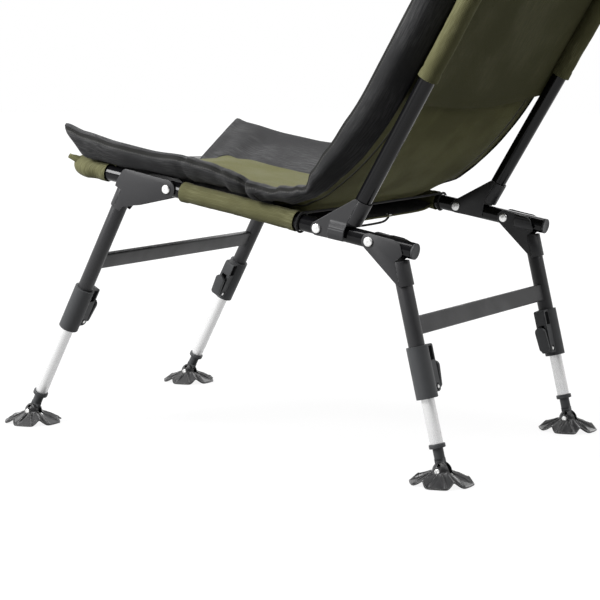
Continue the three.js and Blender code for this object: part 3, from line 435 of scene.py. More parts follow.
# %% [markdown]
# ## How the pieces are shaped
# Each piece starts from a primitive of its own size and is shaped in edit mode, as by hand. A few
# helpers do what every piece needs: go into edit mode with nothing selected, select by a test,
# apply a modifier at once, and settle the finished mesh in its frame with its finish and body.
# Sizes that more than one piece follows come first. They count in millimetres from the rivets.

# %% Sizes that several pieces share, in millimetres
MM = 0.001
RAIL_HALF = 226
RAIL_END = -445
FRONT_TUBE, FRONT_CORNER = 188, 45
BACK_RIVET = 284
FRONT_LEG, REAR_LEG, BACK_TUBE = -77.5, 36.3, 40.3
BACK_START, BACK_BEND, BACK_CORNER, BACK_TOP = 36, 90, 70, 590
BACK_SPLAY = 6
BACK_HEM = 514
SLEEVE_RADIUS = 14.1
GAP = 0.3
CLAMP_HEIGHT = 78
print("seat frame", 2 * RAIL_HALF, "mm wide, back", BACK_TOP, "mm long")

# %% Helpers: shaping
def choose(*objects):
    bpy.ops.object.select_all(action="DESELECT")
    for obj in objects:
        obj.select_set(True)
    bpy.context.view_layer.objects.active = objects[0]


def primitive(kind, name, **sizes):
    bpy.ops.object.select_all(action="DESELECT")
    getattr(bpy.ops.mesh, f"primitive_{kind}_add")(**sizes)
    obj = bpy.context.object
    obj.name = obj.data.name = name
    bpy.ops.object.transform_apply(location=True, rotation=True, scale=True)
    return obj


def pick(obj, kind, test):
    if obj.mode != "EDIT":
        choose(obj)
        bpy.ops.object.mode_set(mode="EDIT")
    bpy.ops.mesh.select_mode(type=kind)
    bpy.ops.mesh.select_all(action="DESELECT")
    mesh = bmesh.from_edit_mesh(obj.data)
    for item in {"VERT": mesh.verts, "EDGE": mesh.edges, "FACE": mesh.faces}[kind]:
        if test(item):
            item.select_set(True)
    mesh.select_flush_mode()
    bmesh.update_edit_mesh(obj.data)


def leave_edit():
    bpy.ops.object.mode_set(mode="OBJECT")


def turn_out(obj, merge=False):
    """Turn all faces outwards, after merging doubles where a spin has left them."""
    pick(obj, "FACE", lambda f: True)
    if merge:
        bpy.ops.mesh.remove_doubles(threshold=0.01 * MM)
    bpy.ops.mesh.normals_make_consistent(inside=False)
    leave_edit()


def middle(item):
    return sum((v.co for v in item.verts), Vector()) / len(item.verts)


def modify(obj, kind, **settings):
    choose(obj)
    modifier = obj.modifiers.new(kind.lower(), kind)
    for key, value in settings.items():
        setattr(modifier, key, value)
    bpy.ops.object.modifier_apply(modifier=modifier.name)


def soften(obj, width, segments=2, angle=35):
    modify(obj, "BEVEL", width=width, segments=segments, limit_method="ANGLE",
           angle_limit=math.radians(angle))


def joined(name, *objects):
    choose(*objects)
    bpy.ops.object.join()
    objects[0].name = objects[0].data.name = name
    return objects[0]


def twin(obj, name):
    copy = obj.copy()
    copy.data = obj.data.copy()
    copy.name = copy.data.name = name
    bpy.context.scene.collection.objects.link(copy)
    return copy


def settle(obj, matrix, material, body, nodes, angle=35):
    obj.data.transform(matrix)
    if matrix.determinant() < 0:
        obj.data.flip_normals()
    obj.data.materials.clear()
    obj.data.materials.append(material)
    choose(obj)
    bpy.ops.object.shade_smooth_by_angle(angle=math.radians(angle))
    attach(obj, body)
    if nodes:
        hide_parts(*nodes)
    return obj


# %% [markdown]
# ## Bent tubes
# The seat frame is one tube: down the left rail, round two front corners and back along the right
# rail. The back frame is another, with a slight splay. A circle could be swept along a curve, but
# extrude and spin bend it as a tube bender does. A Solidify modifier then gives it its wall.

# %% Helpers: straight and bent tubes
TUBE = 12.5 * MM
TUBE_WALL = 1.5 * MM


def straight_tube(name, outer, wall, low, high, sides=48, edge=0.5 * MM):
    tube = primitive("cylinder", name, vertices=sides, radius=outer, depth=high - low,
                     end_fill_type="NOTHING", location=(0, 0, (low + high) / 2))
    modify(tube, "SOLIDIFY", thickness=wall, offset=-1)
    soften(tube, edge)
    return tube


def extrude_by(x, y, z):
    bpy.ops.mesh.extrude_region_move(TRANSFORM_OT_translate={"value": (x, y, z)})


def spin_corner(centre_x, centre_z, steps):
    bpy.ops.mesh.spin(steps=steps, angle=math.pi / 2, center=(centre_x, 0, centre_z), axis=(0, 1, 0))


def bent_tube(name, stations, half, corner, top, sides=40, steps=12):
    """Two straight runs through the stations, joined over the top by two round corners."""
    bend = top - corner
    first_x, first_z = stations[0]
    tube = primitive("circle", name, vertices=sides, radius=TUBE, location=(first_x, 0, first_z))
    pick(tube, "VERT", lambda v: True)
    route = stations + [(half, bend)]
    for (x0, z0), (x1, z1) in zip(route, route[1:]):
        extrude_by(x1 - x0, 0, z1 - z0)
    spin_corner(half - corner, bend, steps)
    extrude_by(2 * (corner - half), 0, 0)
    spin_corner(corner - half, bend, steps)
    for (x0, z0), (x1, z1) in zip(route[::-1], route[::-1][1:]):
        extrude_by(x0 - x1, 0, z1 - z0)
    turn_out(tube, merge=True)
    modify(tube, "SOLIDIFY", thickness=TUBE_WALL, offset=-1)
    soften(tube, 0.4 * MM, angle=60)
    return tube


# %% Helper: the front of the seat dips
DIP_ASIDE, DIP_BOW, BOW_AHEAD = 9, 8, 8
DIP_START, DIP_RUN = 132, 55


def front_dip(across):
    """How far the front tube hangs below the rails, where across runs from -1 to 1."""
    return DIP_ASIDE * (1 - across) + DIP_BOW * max(0, 1 - across * across)


def lower_front(obj):
    """The front tube bows down and ahead of the rails, most of all towards its far end."""
    for vertex in obj.data.vertices:
        part = min(1, max(0, (vertex.co.z / MM - DIP_START) / DIP_RUN))
        part = part * part * (3 - 2 * part)
        vertex.co.z += BOW_AHEAD * part * MM
        vertex.co.y -= front_dip(vertex.co.x / RAIL_X) * part * MM


# %% Seat frame tube and back frame tube
seat_tube = bent_tube("seat_frame_tube", [(RAIL_X, RAIL_END * MM)], RAIL_X, FRONT_CORNER * MM,
                      FRONT_TUBE * MM)
lower_front(seat_tube)
forwards = on_rails @ Matrix.Rotation(math.radians(90), 4, "X")
settle(seat_tube, forwards, GLOSS, "seat_frame",
       ["seat_rail_left", "seat_rail_right", "seat_front_tube"])
back_tube = bent_tube("back_frame_tube", [(RAIL_X, BACK_START * MM), (RAIL_X, BACK_BEND * MM)],
                      RAIL_X + BACK_SPLAY * MM, BACK_CORNER * MM, BACK_TOP * MM)
settle(back_tube, on_back @ Matrix.Translation((0, BACK_TUBE * MM, 0)), GLOSS, "back_frame",
       ["back_tube_left", "back_tube_right", "back_top_tube"])
for tube in (seat_tube, back_tube):
    corners = [Vector(c) for c in tube.bound_box]
    print(tube.name, [round(max(c[i] for c in corners), 4) for i in range(3)], len(tube.data.polygons))

# %% [markdown]
# ## Legs, crossbars and inner legs
# Each leg is a straight black tube. A flat oblong tube joins the two legs of a pair. It starts as a
# box, and its long edges are rounded in edit mode. The bright inner legs slide out of the black ones.

# %% Leg tubes, crossbars and inner legs
LEG_PAIRS = {
    "front": {"frame": on_front, "y": FRONT_LEG * MM, "tube": -45, "bar": -185, "clamp": -237, "inner": 250},
    "rear": {"frame": on_rear, "y": REAR_LEG * MM, "tube": -37, "bar": -136, "clamp": -165.5, "inner": 200},
}
INNER, INNER_WALL = 10 * MM, 1.4 * MM
TUBE_STOP = 6.3
COLLAR_RISE = 33
BAR_DEPTH, BAR_HEIGHT, BAR_CORNER = 10 * MM, 28 * MM, 3 * MM
INTO_TUBE = 11.6 * MM


def foot_drop(prefix, pair):
    swivel = next(j for j in frame["joints"] if j["name"] == f"{prefix}_foot_swivel_left")
    return (pair["frame"].inverted() @ Vector(swivel["pos_m"])).z / MM


def round_bar(name, width, depth, height, corner):
    bar = primitive("cube", name, size=1, scale=(width, depth, height))
    pick(bar, "EDGE", lambda e: abs(e.verts[0].co.x - e.verts[1].co.x) > width / 2)
    bpy.ops.mesh.bevel(offset=corner, segments=4, profile=0.5)
    leave_edit()
    return bar


for prefix, pair in LEG_PAIRS.items():
    pair["foot"] = foot_drop(prefix, pair)
    print(prefix, "foot pivot at", round(pair["foot"], 2))
    tube_end = pair["clamp"] - CLAMP_HEIGHT + TUBE_STOP
    inner_end = pair["foot"] + COLLAR_RISE + TUBE_STOP
    for name, side in SIDES:
        place = pair["frame"] @ Matrix.Translation((side * RAIL_X, pair["y"], 0))
        leg = straight_tube(f"{prefix}_leg_{name}_tube", TUBE, TUBE_WALL, tube_end * MM, pair["tube"] * MM)
        settle(leg, place, PAINT, f"{prefix}_legs", [f"{prefix}_leg_{name}"])
        inner = straight_tube(f"{prefix}_inner_{name}_tube", INNER, INNER_WALL, inner_end * MM,
                              (inner_end + pair["inner"]) * MM)
        settle(inner, place, ALLOY, f"{prefix}_inner_leg_{name}", [f"{prefix}_inner_leg_{name}"])
    bar = round_bar(f"{prefix}_crossbar_tube", 2 * (RAIL_X - INTO_TUBE), BAR_DEPTH, BAR_HEIGHT, BAR_CORNER)
    settle(bar, pair["frame"] @ Matrix.Translation((0, pair["y"], pair["bar"] * MM)), PAINT,
           f"{prefix}_legs", [f"{prefix}_crossbar"])

# %% [markdown]
# ## The mattress: its line
# One long quilt lies on the seat cloth, leaves it in a tight bend, crosses to the back in a wide one
# and runs up the back tubes. A simulation could drop a flat quilt into the frame, but its bends are
# known, so the quilt follows a path: straight, two arcs and straight again.

# %% Path of the quilt's underside, in millimetres on the rails
SLING_SAG = 19
BEND_START = 125
LOW_RADIUS, LOW_TURN = 202, math.radians(42)
AHEAD = 212
FOLD_TURN = math.radians(90 - (RAIL_TILT - BACK_LEAN))
BACK_TILT = math.radians(RAIL_TILT - BACK_LEAN)
BACK_LINE = BACK_TUBE - 18.8
QUILT_TOP = 625
bend_y = BEND_START + LOW_RADIUS * math.sin(LOW_TURN)
bend_z = -SLING_SAG + LOW_RADIUS * (1 - math.cos(LOW_TURN))
off_back = BACK_LINE - (bend_y - BACK_RIVET) * math.cos(BACK_TILT) + bend_z * math.sin(BACK_TILT)
HIGH_RADIUS = off_back / (1 - math.cos(FOLD_TURN - LOW_TURN))
SEAT_LENGTH = AHEAD + BEND_START
TO_BEND = SEAT_LENGTH + LOW_RADIUS * LOW_TURN
TO_BACK = TO_BEND + HIGH_RADIUS * (FOLD_TURN - LOW_TURN)
top_y = bend_y + HIGH_RADIUS * (math.sin(FOLD_TURN) - math.sin(LOW_TURN))
top_z = bend_z + HIGH_RADIUS * (math.cos(LOW_TURN) - math.cos(FOLD_TURN))
rise = (top_y - BACK_RIVET) * math.sin(BACK_TILT) + top_z * math.cos(BACK_TILT)
QUILT_LENGTH = TO_BACK + QUILT_TOP - rise


def quilt_place(length):
    if length < SEAT_LENGTH:
        return length - AHEAD, -SLING_SAG, 0.0
    if length < TO_BEND:
        turned = (length - SEAT_LENGTH) / LOW_RADIUS
        return (BEND_START + LOW_RADIUS * math.sin(turned),
                -SLING_SAG + LOW_RADIUS * (1 - math.cos(turned)), turned)
    if length < TO_BACK:
        turned = LOW_TURN + (length - TO_BEND) / HIGH_RADIUS
        return (bend_y + HIGH_RADIUS * (math.sin(turned) - math.sin(LOW_TURN)),
                bend_z + HIGH_RADIUS * (math.cos(LOW_TURN) - math.cos(turned)), turned)
    beyond = length - TO_BACK
    return top_y + beyond * math.cos(FOLD_TURN), top_z + beyond * math.sin(FOLD_TURN), FOLD_TURN


print("quilt length", round(QUILT_LENGTH), "bends at", round(SEAT_LENGTH), round(TO_BEND), round(TO_BACK))

# %% [markdown]
# ## The mattress: its section
# Across, the quilt is a flat pad between two padded wings that climb over the rails. The wings stand
# high at the front, sink towards the fold, pinch there and stand up again along the back. The section
# changes along the path, so its heights come from short tables read with soft steps.

# %% Heights across the quilt, each at a share of its length
WING_TOP = [(0, 84), (0.03, 78), (0.1, 74), (0.16, 74), (0.22, 78), (0.258, 74), (0.32, 70),
            (0.365, 58), (0.41, 44), (0.445, 31), (0.458, 22), (0.482, 36), (0.52, 44), (0.58, 51),
            (0.67, 54), (0.97, 54), (1, 42)]
WING_LOW = [(0, 39), (0.03, 38), (0.1, 37), (0.18, 44), (0.22, 50), (0.31, 46), (0.39, 28), (0.42, 12),
            (0.46, 3), (0.52, 1.5), (1, 1)]
PAD = [(0, 5), (0.03, 12), (0.08, 23), (0.12, 27), (0.42, 27), (0.458, 19), (0.5, 27), (0.97, 27), (1, 14)]


def soft(value, start, end):
    """0 before the start, 1 after the end, and a soft step between them."""
    part = min(1, max(0, (value - start) / (end - start)))
    return part * part * (3 - 2 * part)


def soft_table(table, share):
    for (start, first), (end, second) in zip(table, table[1:]):
        if share <= end:
            return first + (second - first) * soft(share, start, end)
    return table[-1][1]


# %% The front edge, which is set back in the middle
MIDDLE_HALF = 112
MIDDLE_EDGE = 211
SETBACK = 43
FAR_AHEAD = 9
FRONT_REACH = 75
SLANT = 0.98
CLIMB = 11


def setback(length, x):
    return SETBACK * (1 - soft(x, MIDDLE_HALF, MIDDLE_EDGE)) * (1 - soft(length, 0, FRONT_REACH))


def front_shift(length, x, height):
    """How far the front edge is set back: in the middle, and where the near wing slants down."""
    if x < 0:
        return (SETBACK * (1 - soft(-x, 100, 150)) - FAR_AHEAD) * (1 - soft(length, 0, FRONT_REACH))
    slant = SLANT * max(0, WING_TOP[0][1] - height) * soft(x, 170, 215)
    return setback(length, x) + slant * (1 - soft(length, 0, 110))


def front_climb(length, x):
    """How far the underside is lifted by the sling's front hem and by the front tube."""
    along = length - AHEAD + setback(length, abs(x))
    off_tube = soft(along, SLEEVE_RADIUS + 12 - FRONT_TUBE, -117)
    over_tube = (SLEEVE_RADIUS + GAP + SLING_SAG - front_dip(x / RAIL_HALF)) * (1 - off_tube)
    on_sling = CLIMB * (1 - soft(along, SLEEVE_RADIUS - FRONT_TUBE, -139))
    return on_sling + (over_tube - on_sling) * soft(abs(x), MIDDLE_HALF, 140)


# %% One section of the quilt
WING_EDGE = 258
FULL_LOW, FULL_PAD = 54, 27


def section(length):
    """Half of the quilt's outline there: its underside, its rim and its top, from the middle out."""
    share = length / QUILT_LENGTH
    low, wing, pad = (soft_table(table, share) for table in (WING_LOW, WING_TOP, PAD))
    spread = min(1, low / FULL_LOW)
    over = (SLING_SAG + 18) * min(1, 1.7 * spread)
    tuck = 9 * spread * soft(length, 0, 70)
    edge = 229 + 29 * spread
    top = lambda x: front_climb(length, x) + pad
    wing = max(wing, top(WING_EDGE))
    between = lambda x, amount: top(x) + (wing - top(x)) * amount
    base = lambda x, height: (x, max(height, front_climb(length, x)))
    thick = pad / FULL_PAD
    lower = [base(0, 0), base(70, 0), base(112, 0), base(128, 0), base(142, 0), base(182, 0.14 * over),
             base(203, 0.6 * over), base(212, over), base(227, over), base(edge - 3 - tuck, low - 2)]
    rim = [(256 - 3 * spread, (low + wing) / 2 - 5), (WING_EDGE, wing - 16 + 2 * (1 - spread)),
           (256, wing - 8), (251, wing - 2)]
    upper = [(244, wing), (238, between(238, 0.96)), (211, between(211, 0.62)), (172, between(172, 0.22)),
             (151, top(151) + 1.5 * thick), (140, top(140) - 4 * thick), (128, top(128) + 2 * thick),
             (110, top(110) + 3 * thick), (70, top(70) + 5 * thick), (0, top(0) + 6 * thick)]
    return lower, rim, upper


# %% Helper: a smooth line through points, cut into even steps
def smooth_line(points, count):
    line = [Vector((x, 0, z)) for x, z in points]
    line = [2 * line[0] - line[1], *line, 2 * line[-1] - line[-2]]
    fine = []
    for a, b, c, d in zip(line, line[1:], line[2:], line[3:]):
        for step in range(12):
            t = step / 12
            fine.append(0.5 * (2 * b + (c - a) * t + (2 * a - 5 * b + 4 * c - d) * t * t
                               + (3 * b - a - 3 * c + d) * t ** 3))
    fine.append(line[-2])
    reach = [0.0]
    for a, b in zip(fine, fine[1:]):
        reach.append(reach[-1] + (b - a).length)
    result = []
    at = 0
    for k in range(count):
        goal = reach[-1] * k / (count - 1)
        while reach[at + 1] < goal - 1e-9:
            at += 1
        part = (goal - reach[at]) / (reach[at + 1] - reach[at])
        result.append(fine[at].lerp(fine[at + 1], part))
    return [(p.x, p.z) for p in result]


# %% [markdown]
# ## The mattress: its body
# A ring of points is laid round the section at each step along the path, and the rings are bridged
# to a closed skin. Each point keeps its place on the cloth: how far along and how far across. The
# weave, the olive panels and the seams all read that place, so they follow the quilt round its bends.

# %% Build the quilt's skin
ACROSS = 46
STEPS = 150


def quilt_point(length, x, height):
    y, z, turned = quilt_place(length)
    return Vector((x, y - height * math.sin(turned), z + height * math.cos(turned))) * MM


# %% Folds, wrinkles and the uneven wings
CREASES = [(236, 16, 3.4, 4.5), (262, -22, 4.4, 4.0), (296, 26, 5.0, 5.0), (330, -18, 3.6, 5.0),
           (350, 22, 5.0, 5.0), (376, -4, 8.0, 8.0), (398, 12, 4.0, 6.0), (430, 14, 2.4, 6.0)]


def creases(length, x, height):
    """How deep the pulled folds are that cross the wings near the bend, each at its own slant."""
    deep = 0.0
    outwards = ((abs(x) - 200) + 0.8 * (55 - height)) / 50
    for place, slant, depth, wide in CREASES:
        away = (length - place - slant * outwards) / wide
        deep += depth * (math.exp(-away ** 2) - 0.5 * math.exp(-((away - 2.2) / 1.6) ** 2))
    return deep * soft(abs(x), 150, 215)


def wrinkle(length, x):
    """The slow unevenness of stuffed cloth, with a finer one beside the bend."""
    slow = 1.5 * noise.noise(Vector((length / 95, x / 80, 0)))
    beside_bend = soft(length, 200, 260) * (1 - soft(length, 400, 470))
    return slow + noise.noise(Vector((length / 30, x / 26, 4.0))) * beside_bend


def far_ceiling(length, x, shift):
    """The far front corner hangs over the front tube, so its edge runs straight down to the tube."""
    along = length - AHEAD + shift
    return SLING_SAG - 14.6 + 0.71 * (-x - 160) + 1.296 * (along + 222)


def side_height(length, x):
    """The near wing stands a little higher than the far one."""
    on_seat = 1 - soft(length, 330, 430)
    crest = 3.5 * math.exp(-((length - 290) / 45) ** 2)
    return on_seat * soft(abs(x), 150, 240) * (1.5 + crest if x > 0 else -3)


# %% Lay the rings and bridge them
END_REACH = 40
FAR_SIDE = -90
NOT_OUTER = -20


def cloth_reach(half):
    """How far round the cloth each point of the half outline lies."""
    reach = [0.0]
    for here, after in zip(half, half[1:]):
        reach.append(reach[-1] + math.dist(here, after))
    return reach


def build_quilt():
    mesh = bmesh.new()
    uv = mesh.loops.layers.uv.new("UVMap")
    names = ("across", "along", "upper", "edge")
    layers = {name: mesh.verts.layers.float.new(name) for name in names}
    rings, cloth = [], {}
    for i in range(STEPS + 1):
        length = QUILT_LENGTH * i / STEPS
        lower, rim, upper = section(length)
        half = smooth_line(lower + rim + upper, 2 * ACROSS)
        around = []
        loop = half + [(-x, z) for x, z in reversed(half[1:-1])]
        turn_at = max(range(len(half)), key=lambda k: half[k][0])
        crest_at = max(range(turn_at, turn_at + 10), key=lambda k: half[k][1])
        reach = cloth_reach(half)
        ends = soft(length, 0, END_REACH) * (1 - soft(length, QUILT_LENGTH - END_REACH, QUILT_LENGTH))
        for k, (x, height) in enumerate(loop):
            beside = min(k, len(loop) - k)
            under = 1 - soft(beside, turn_at - 8, turn_at + 8)
            fold = creases(length, x, height)
            lift = (wrinkle(length, x) - fold) * ends * (1 if under < 0.5 else -0.5)
            outward = soft(abs(x), 200, 250) * (1 if x > 0 else -1)
            shift = front_shift(length, x, height)
            height += side_height(length, x) + lift * (1 - 0.5 * abs(outward))
            if x < FAR_SIDE:
                height = min(height, far_ceiling(length, x, shift) - 5 * under)
            x -= (0.9 * fold * ends - 0.5 * lift * (1 - 2 * under)) * outward
            vertex = mesh.verts.new(quilt_point(length, x, height) + Vector((0, shift * MM, 0)))
            cloth[vertex] = (reach[beside] * MM, length * MM)
            vertex[layers["across"]] = abs(x) * MM
            vertex[layers["along"]] = length * MM
            vertex[layers["upper"]] = 1.0 if beside >= turn_at else 0.0
            below_crest = half[crest_at][1] - half[beside][1] if beside < crest_at else NOT_OUTER
            vertex[layers["edge"]] = below_crest * MM
            around.append(vertex)
        rings.append(around)
    for i in range(STEPS):
        for k in range(len(rings[0])):
            after = (k + 1) % len(rings[0])
            face = mesh.faces.new((rings[i][k], rings[i][after], rings[i + 1][after], rings[i + 1][k]))
            for corner in face.loops:
                corner[uv].uv = cloth[corner.vert]
    for ring in (rings[0], rings[-1]):
        mesh.faces.new(ring)
    bmesh.ops.recalc_face_normals(mesh, faces=mesh.faces)
    data = bpy.data.meshes.new("mattress")
    mesh.to_mesh(data)
    mesh.free()
    obj = bpy.data.objects.new("mattress", data)
    bpy.context.scene.collection.objects.link(obj)
    return obj


mattress = build_quilt()
mattress.data.transform(on_rails)
mattress.data.materials.append(BLACK_QUILT)
mattress.data.polygons.foreach_set("use_smooth", [True] * len(mattress.data.polygons))
print("quilt faces", len(mattress.data.polygons))
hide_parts("seat_mattress", "mattress_bend", "back_mattress")
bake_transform(mattress)

# %% [markdown]
# ## The mattress: cloth and seams
# Two cloths meet on the quilt: brushed black on its wings and edges, olive on the seat's middle and on
# the whole rear panel. Each point of the skin knows how far across and along it lies, and on which
# side, so one finish can lay the panels, the seams and their stitches exactly where they were sewn.

# %% Helpers: panels, seams and stitches
def attribute(tree, name):
    node = tree.nodes.new("ShaderNodeAttribute")
    node.attribute_name = name
    return node.outputs["Fac"]


def combine(tree, operation, first, *others):
    for other in others:
        first = math_node(tree, operation, first, other)
    return first


def seam_line(tree, value, place, width):
    away = math_node(tree, "ABSOLUTE", math_node(tree, "SUBTRACT", value, place))
    return ramp_node(tree, away, width, width * 0.3)


def stitch_line(tree, value, place, along, width=0.0011, pitch=0.0045):
    line = seam_line(tree, value, place, width)
    dash = math_node(tree, "FRACT", math_node(tree, "DIVIDE", along, pitch))
    return math_node(tree, "MULTIPLY", line, ramp_node(tree, dash, 0.36, 0.30))


def group_outputs(tree, group):
    return next(n for n in tree.nodes if n.type == "GROUP" and n.node_tree == group).outputs


# %% Panels and seams of the quilt, in metres on its cloth
TOP_OLIVE = (0.102, 0.101, 0.049, 1)
REAR_OLIVE = (0.124, 0.121, 0.041, 1)
OLIVE_DARK = (0.090, 0.088, 0.030, 1)
OLIVE_GAP = (0.05, 0.049, 0.017, 1)
THREAD = (0.10, 0.10, 0.085, 1)
# Seam colour: near black painted shade in the seams' grooves.
SEAM_SHADE = (0.006, 0.006, 0.005, 1)
REAR_SEAM = 0.2265


def quilt_panels(tree, across, wide, along, top, below):
    seat = combine(tree, "MULTIPLY", ramp_node(tree, wide, 0.1402, 0.1396), top,
                   ramp_node(tree, along, 0.455, 0.452), ramp_node(tree, along, 0.030, 0.033))
    rear = combine(tree, "MULTIPLY", ramp_node(tree, across, REAR_SEAM, REAR_SEAM - 0.001), below,
                   ramp_node(tree, along, 0.40, 0.402))
    return math_node(tree, "MAXIMUM", seat, rear)


def quilt_finish(material):
    tree = material.node_tree
    shader = tree.nodes["Principled BSDF"]
    across, along, top, edge = (attribute(tree, name) for name in ("across", "along", "upper", "edge"))
    below = math_node(tree, "SUBTRACT", 1.0, top)
    short = math_node(tree, "MAXIMUM", math_node(tree, "SUBTRACT", 0.11, along), 0.0)
    wide = math_node(tree, "ADD", across, math_node(tree, "MULTIPLY", short, 0.45))
    black = shader.inputs["Base Color"].links[0].from_socket
    patches = group_outputs(tree, GRAIN)["Patches"]
    patchy = mix_colours(tree, patches, OLIVE_DARK, mix_colours(tree, top, REAR_OLIVE, TOP_OLIVE))
    gaps = math_node(tree, "MULTIPLY", group_outputs(tree, WEAVE)["Gaps"], 0.55)
    cloth = mix_colours(tree, quilt_panels(tree, across, wide, along, top, below), black,
                        mix_colours(tree, gaps, patchy, OLIVE_GAP))
    lines_below = [seam_line(tree, across, 0.2005, 0.0042), seam_line(tree, across, REAR_SEAM, 0.0034),
                   seam_line(tree, along, 0.4010, 0.0026)]
    grooves = [math_node(tree, "MULTIPLY", line, below) for line in lines_below]
    grooves.append(math_node(tree, "MULTIPLY", seam_line(tree, wide, 0.1405, 0.0026), top))
    groove = combine(tree, "MAXIMUM", seam_line(tree, edge, 0.0058, 0.0040), *grooves)
    rear_stitch = math_node(tree, "MULTIPLY", stitch_line(tree, across, 0.2045, along), below)
    stitch = math_node(tree, "MAXIMUM", rear_stitch, stitch_line(tree, edge, 0.0095, along))
    # Painted shade: the seams' grooves are darkened towards near black.
    shaded = mix_colours(tree, math_node(tree, "MULTIPLY", groove, 0.9), cloth, SEAM_SHADE)
    weave_bump = next(n for n in tree.nodes if n.type == "BUMP")
    seams = bump_node(tree, groove, 0.9, 0.0022)
    seams.invert = True
    feed(tree, seams, {"Normal": weave_bump.outputs["Normal"]})
    feed(tree, shader, {
        "Base Color": mix_colours(tree, math_node(tree, "MULTIPLY", stitch, 0.4), shaded, THREAD),
        "Normal": seams.outputs["Normal"]})


quilt_finish(BLACK_QUILT)
print("quilt nodes", len(BLACK_QUILT.node_tree.nodes))

# %% [markdown]
# ## Brackets
# A bracket is one steel sheet, folded round a tube so that two cheeks stand beside the rail. Its
# outline is drawn point by point and filled, corners are rounded, and Solidify gives the sheet. The
# fold is a half circle, extruded. Two cheeks are pressed out over the rail, like a shallow scoop.

# %% Helpers: outlines and folds
CHEEK = 14 * MM
SHEET = 2 * MM
SHEET_EDGE = 0.45 * MM


def arc(radius, first, last, count=10):
    turns = [math.radians(first + (last - first) * k / count) for k in range(count + 1)]
    return [(radius * math.cos(t), radius * math.sin(t)) for t in turns]


def outline_face(name, points):
    sheet = primitive("plane", name, size=MM)
    pick(sheet, "VERT", lambda v: True)
    bpy.ops.mesh.merge(type="CENTER")
    bpy.ops.transform.translate(value=(0, points[0][0] * MM, points[0][1] * MM))
    for (y0, z0), (y1, z1) in zip(points, points[1:]):
        extrude_by(0, (y1 - y0) * MM, (z1 - z0) * MM)
    bpy.ops.mesh.select_all(action="SELECT")
    bpy.ops.mesh.edge_face_add()
    leave_edit()
    return sheet


def round_corners(sheet, corners):
    for y, z, radius in corners:
        corner = Vector((y, z)) * MM
        pick(sheet, "VERT", lambda v: (Vector((v.co.y, v.co.z)) - corner).length < 0.4 * MM)
        bpy.ops.mesh.bevel(offset=radius * MM, segments=6, affect="VERTICES")
        leave_edit()


def cheek(name, points, corners, x):
    sheet = outline_face(name, points)
    round_corners(sheet, corners)
    sheet.data.transform(Matrix.Translation((x, 0, 0)))
    modify(sheet, "SOLIDIFY", thickness=SHEET, offset=0)
    turn_out(sheet)
    soften(sheet, SHEET_EDGE, angle=60)
    return sheet


def wrap(tube_y, wrap_side, low, high):
    ring = primitive("circle", "wrap", vertices=56, radius=CHEEK, location=(0, tube_y * MM, low * MM))
    pick(ring, "VERT", lambda v: wrap_side * (v.co.y - tube_y * MM) < -0.01 * MM)
    bpy.ops.mesh.delete(type="VERT")
    pick(ring, "EDGE", lambda e: True)
    extrude_by(0, 0, (high - low) * MM)
    leave_edit()
    modify(ring, "SOLIDIFY", thickness=SHEET, offset=0)
    turn_out(ring)
    soften(ring, SHEET_EDGE, angle=60)
    return ring


# %% Helper: press a scoop out of a cheek
SCOOP_RADIUS, SCOOP_PROUD = 10.5, 6.4
SCOOP_START = (20, 23.5)
RAMP = (6.5, 19)
GROOVE_AT, GROOVE_DEEP = 6.8, 0.5


def press(sheet, side, tilt):
    """Push a half barrel out of the cheek beside the rail, which runs out in a ramp above a groove."""
    modify(sheet, "REMESH", mode="VOXEL", voxel_size=0.75 * MM)
    turn = math.radians(tilt)
    for vertex in sheet.data.vertices:
        y, z = vertex.co.y / MM, vertex.co.z / MM
        along = y * math.cos(turn) + z * math.sin(turn)
        off = z * math.cos(turn) - y * math.sin(turn)
        barrel = max(0, 1 - (min(off, 0) / SCOOP_RADIUS) ** 2) ** 0.5
        groove = GROOVE_DEEP * (1 - soft(abs(off - GROOVE_AT), 0.2, 1.6))
        proud = SCOOP_PROUD * min(barrel, 1 - soft(off, *RAMP))
        vertex.co.x += side * max(0, proud - groove) * soft(along, *SCOOP_START) * MM


# %% Outlines of the three brackets, as (y, z) in millimetres from the rivet
FRONT_DROP, REAR_DROP, BACK_RISE = -80, -75.5, 75
FRONT_WRAP, REAR_WRAP, BACK_WRAP = -47.2, -37.8, 37
FRONT_CHEEK = arc(15.5, 123, -27) + [
    (-52.3, -63.2), (-63.5, -70.5), (-66, -79.6), (FRONT_LEG, FRONT_DROP), (FRONT_LEG, FRONT_WRAP),
    (-91.5, FRONT_WRAP), (-92.5, -33.6), (-88.4, -13.3)]
REAR_CHEEK = arc(12.5, 65, 200) + [
    (32, -71.7), (REAR_LEG, REAR_DROP), (REAR_LEG, REAR_WRAP), (51.3, -30.2), (51.3, -21.6),
    (50, -11.7), (41.6, -4.8), (23.1, 3.1)]
BACK_CHEEK = arc(11, 148, 296) + [
    (51, 9.7), (42.8, 30.6), (BACK_TUBE, BACK_WRAP), (BACK_TUBE, BACK_RISE), (33.2, BACK_RISE)]


def make_brackets(prefix, matrix, body, points, corners, wrapped, scoop=None):
    for name, side in SIDES:
        cheeks = [cheek(f"cheek_{k}", points, corners, k * CHEEK) for k in (-1, 1)]
        if scoop:
            direction, tilt = scoop[0] * side, scoop[1]
            press(cheeks[0] if direction < 0 else cheeks[1], direction, tilt)
        bracket = joined(f"{prefix}_bracket_{name}_sheet", wrap(*wrapped), *cheeks)
        settle(bracket, matrix @ Matrix.Translation((side * RAIL_X, 0, 0)), SHEET_PAINT, body,
               [f"{prefix}_bracket_{name}"], 50)
    print(prefix, "bracket faces", len(bracket.data.polygons))


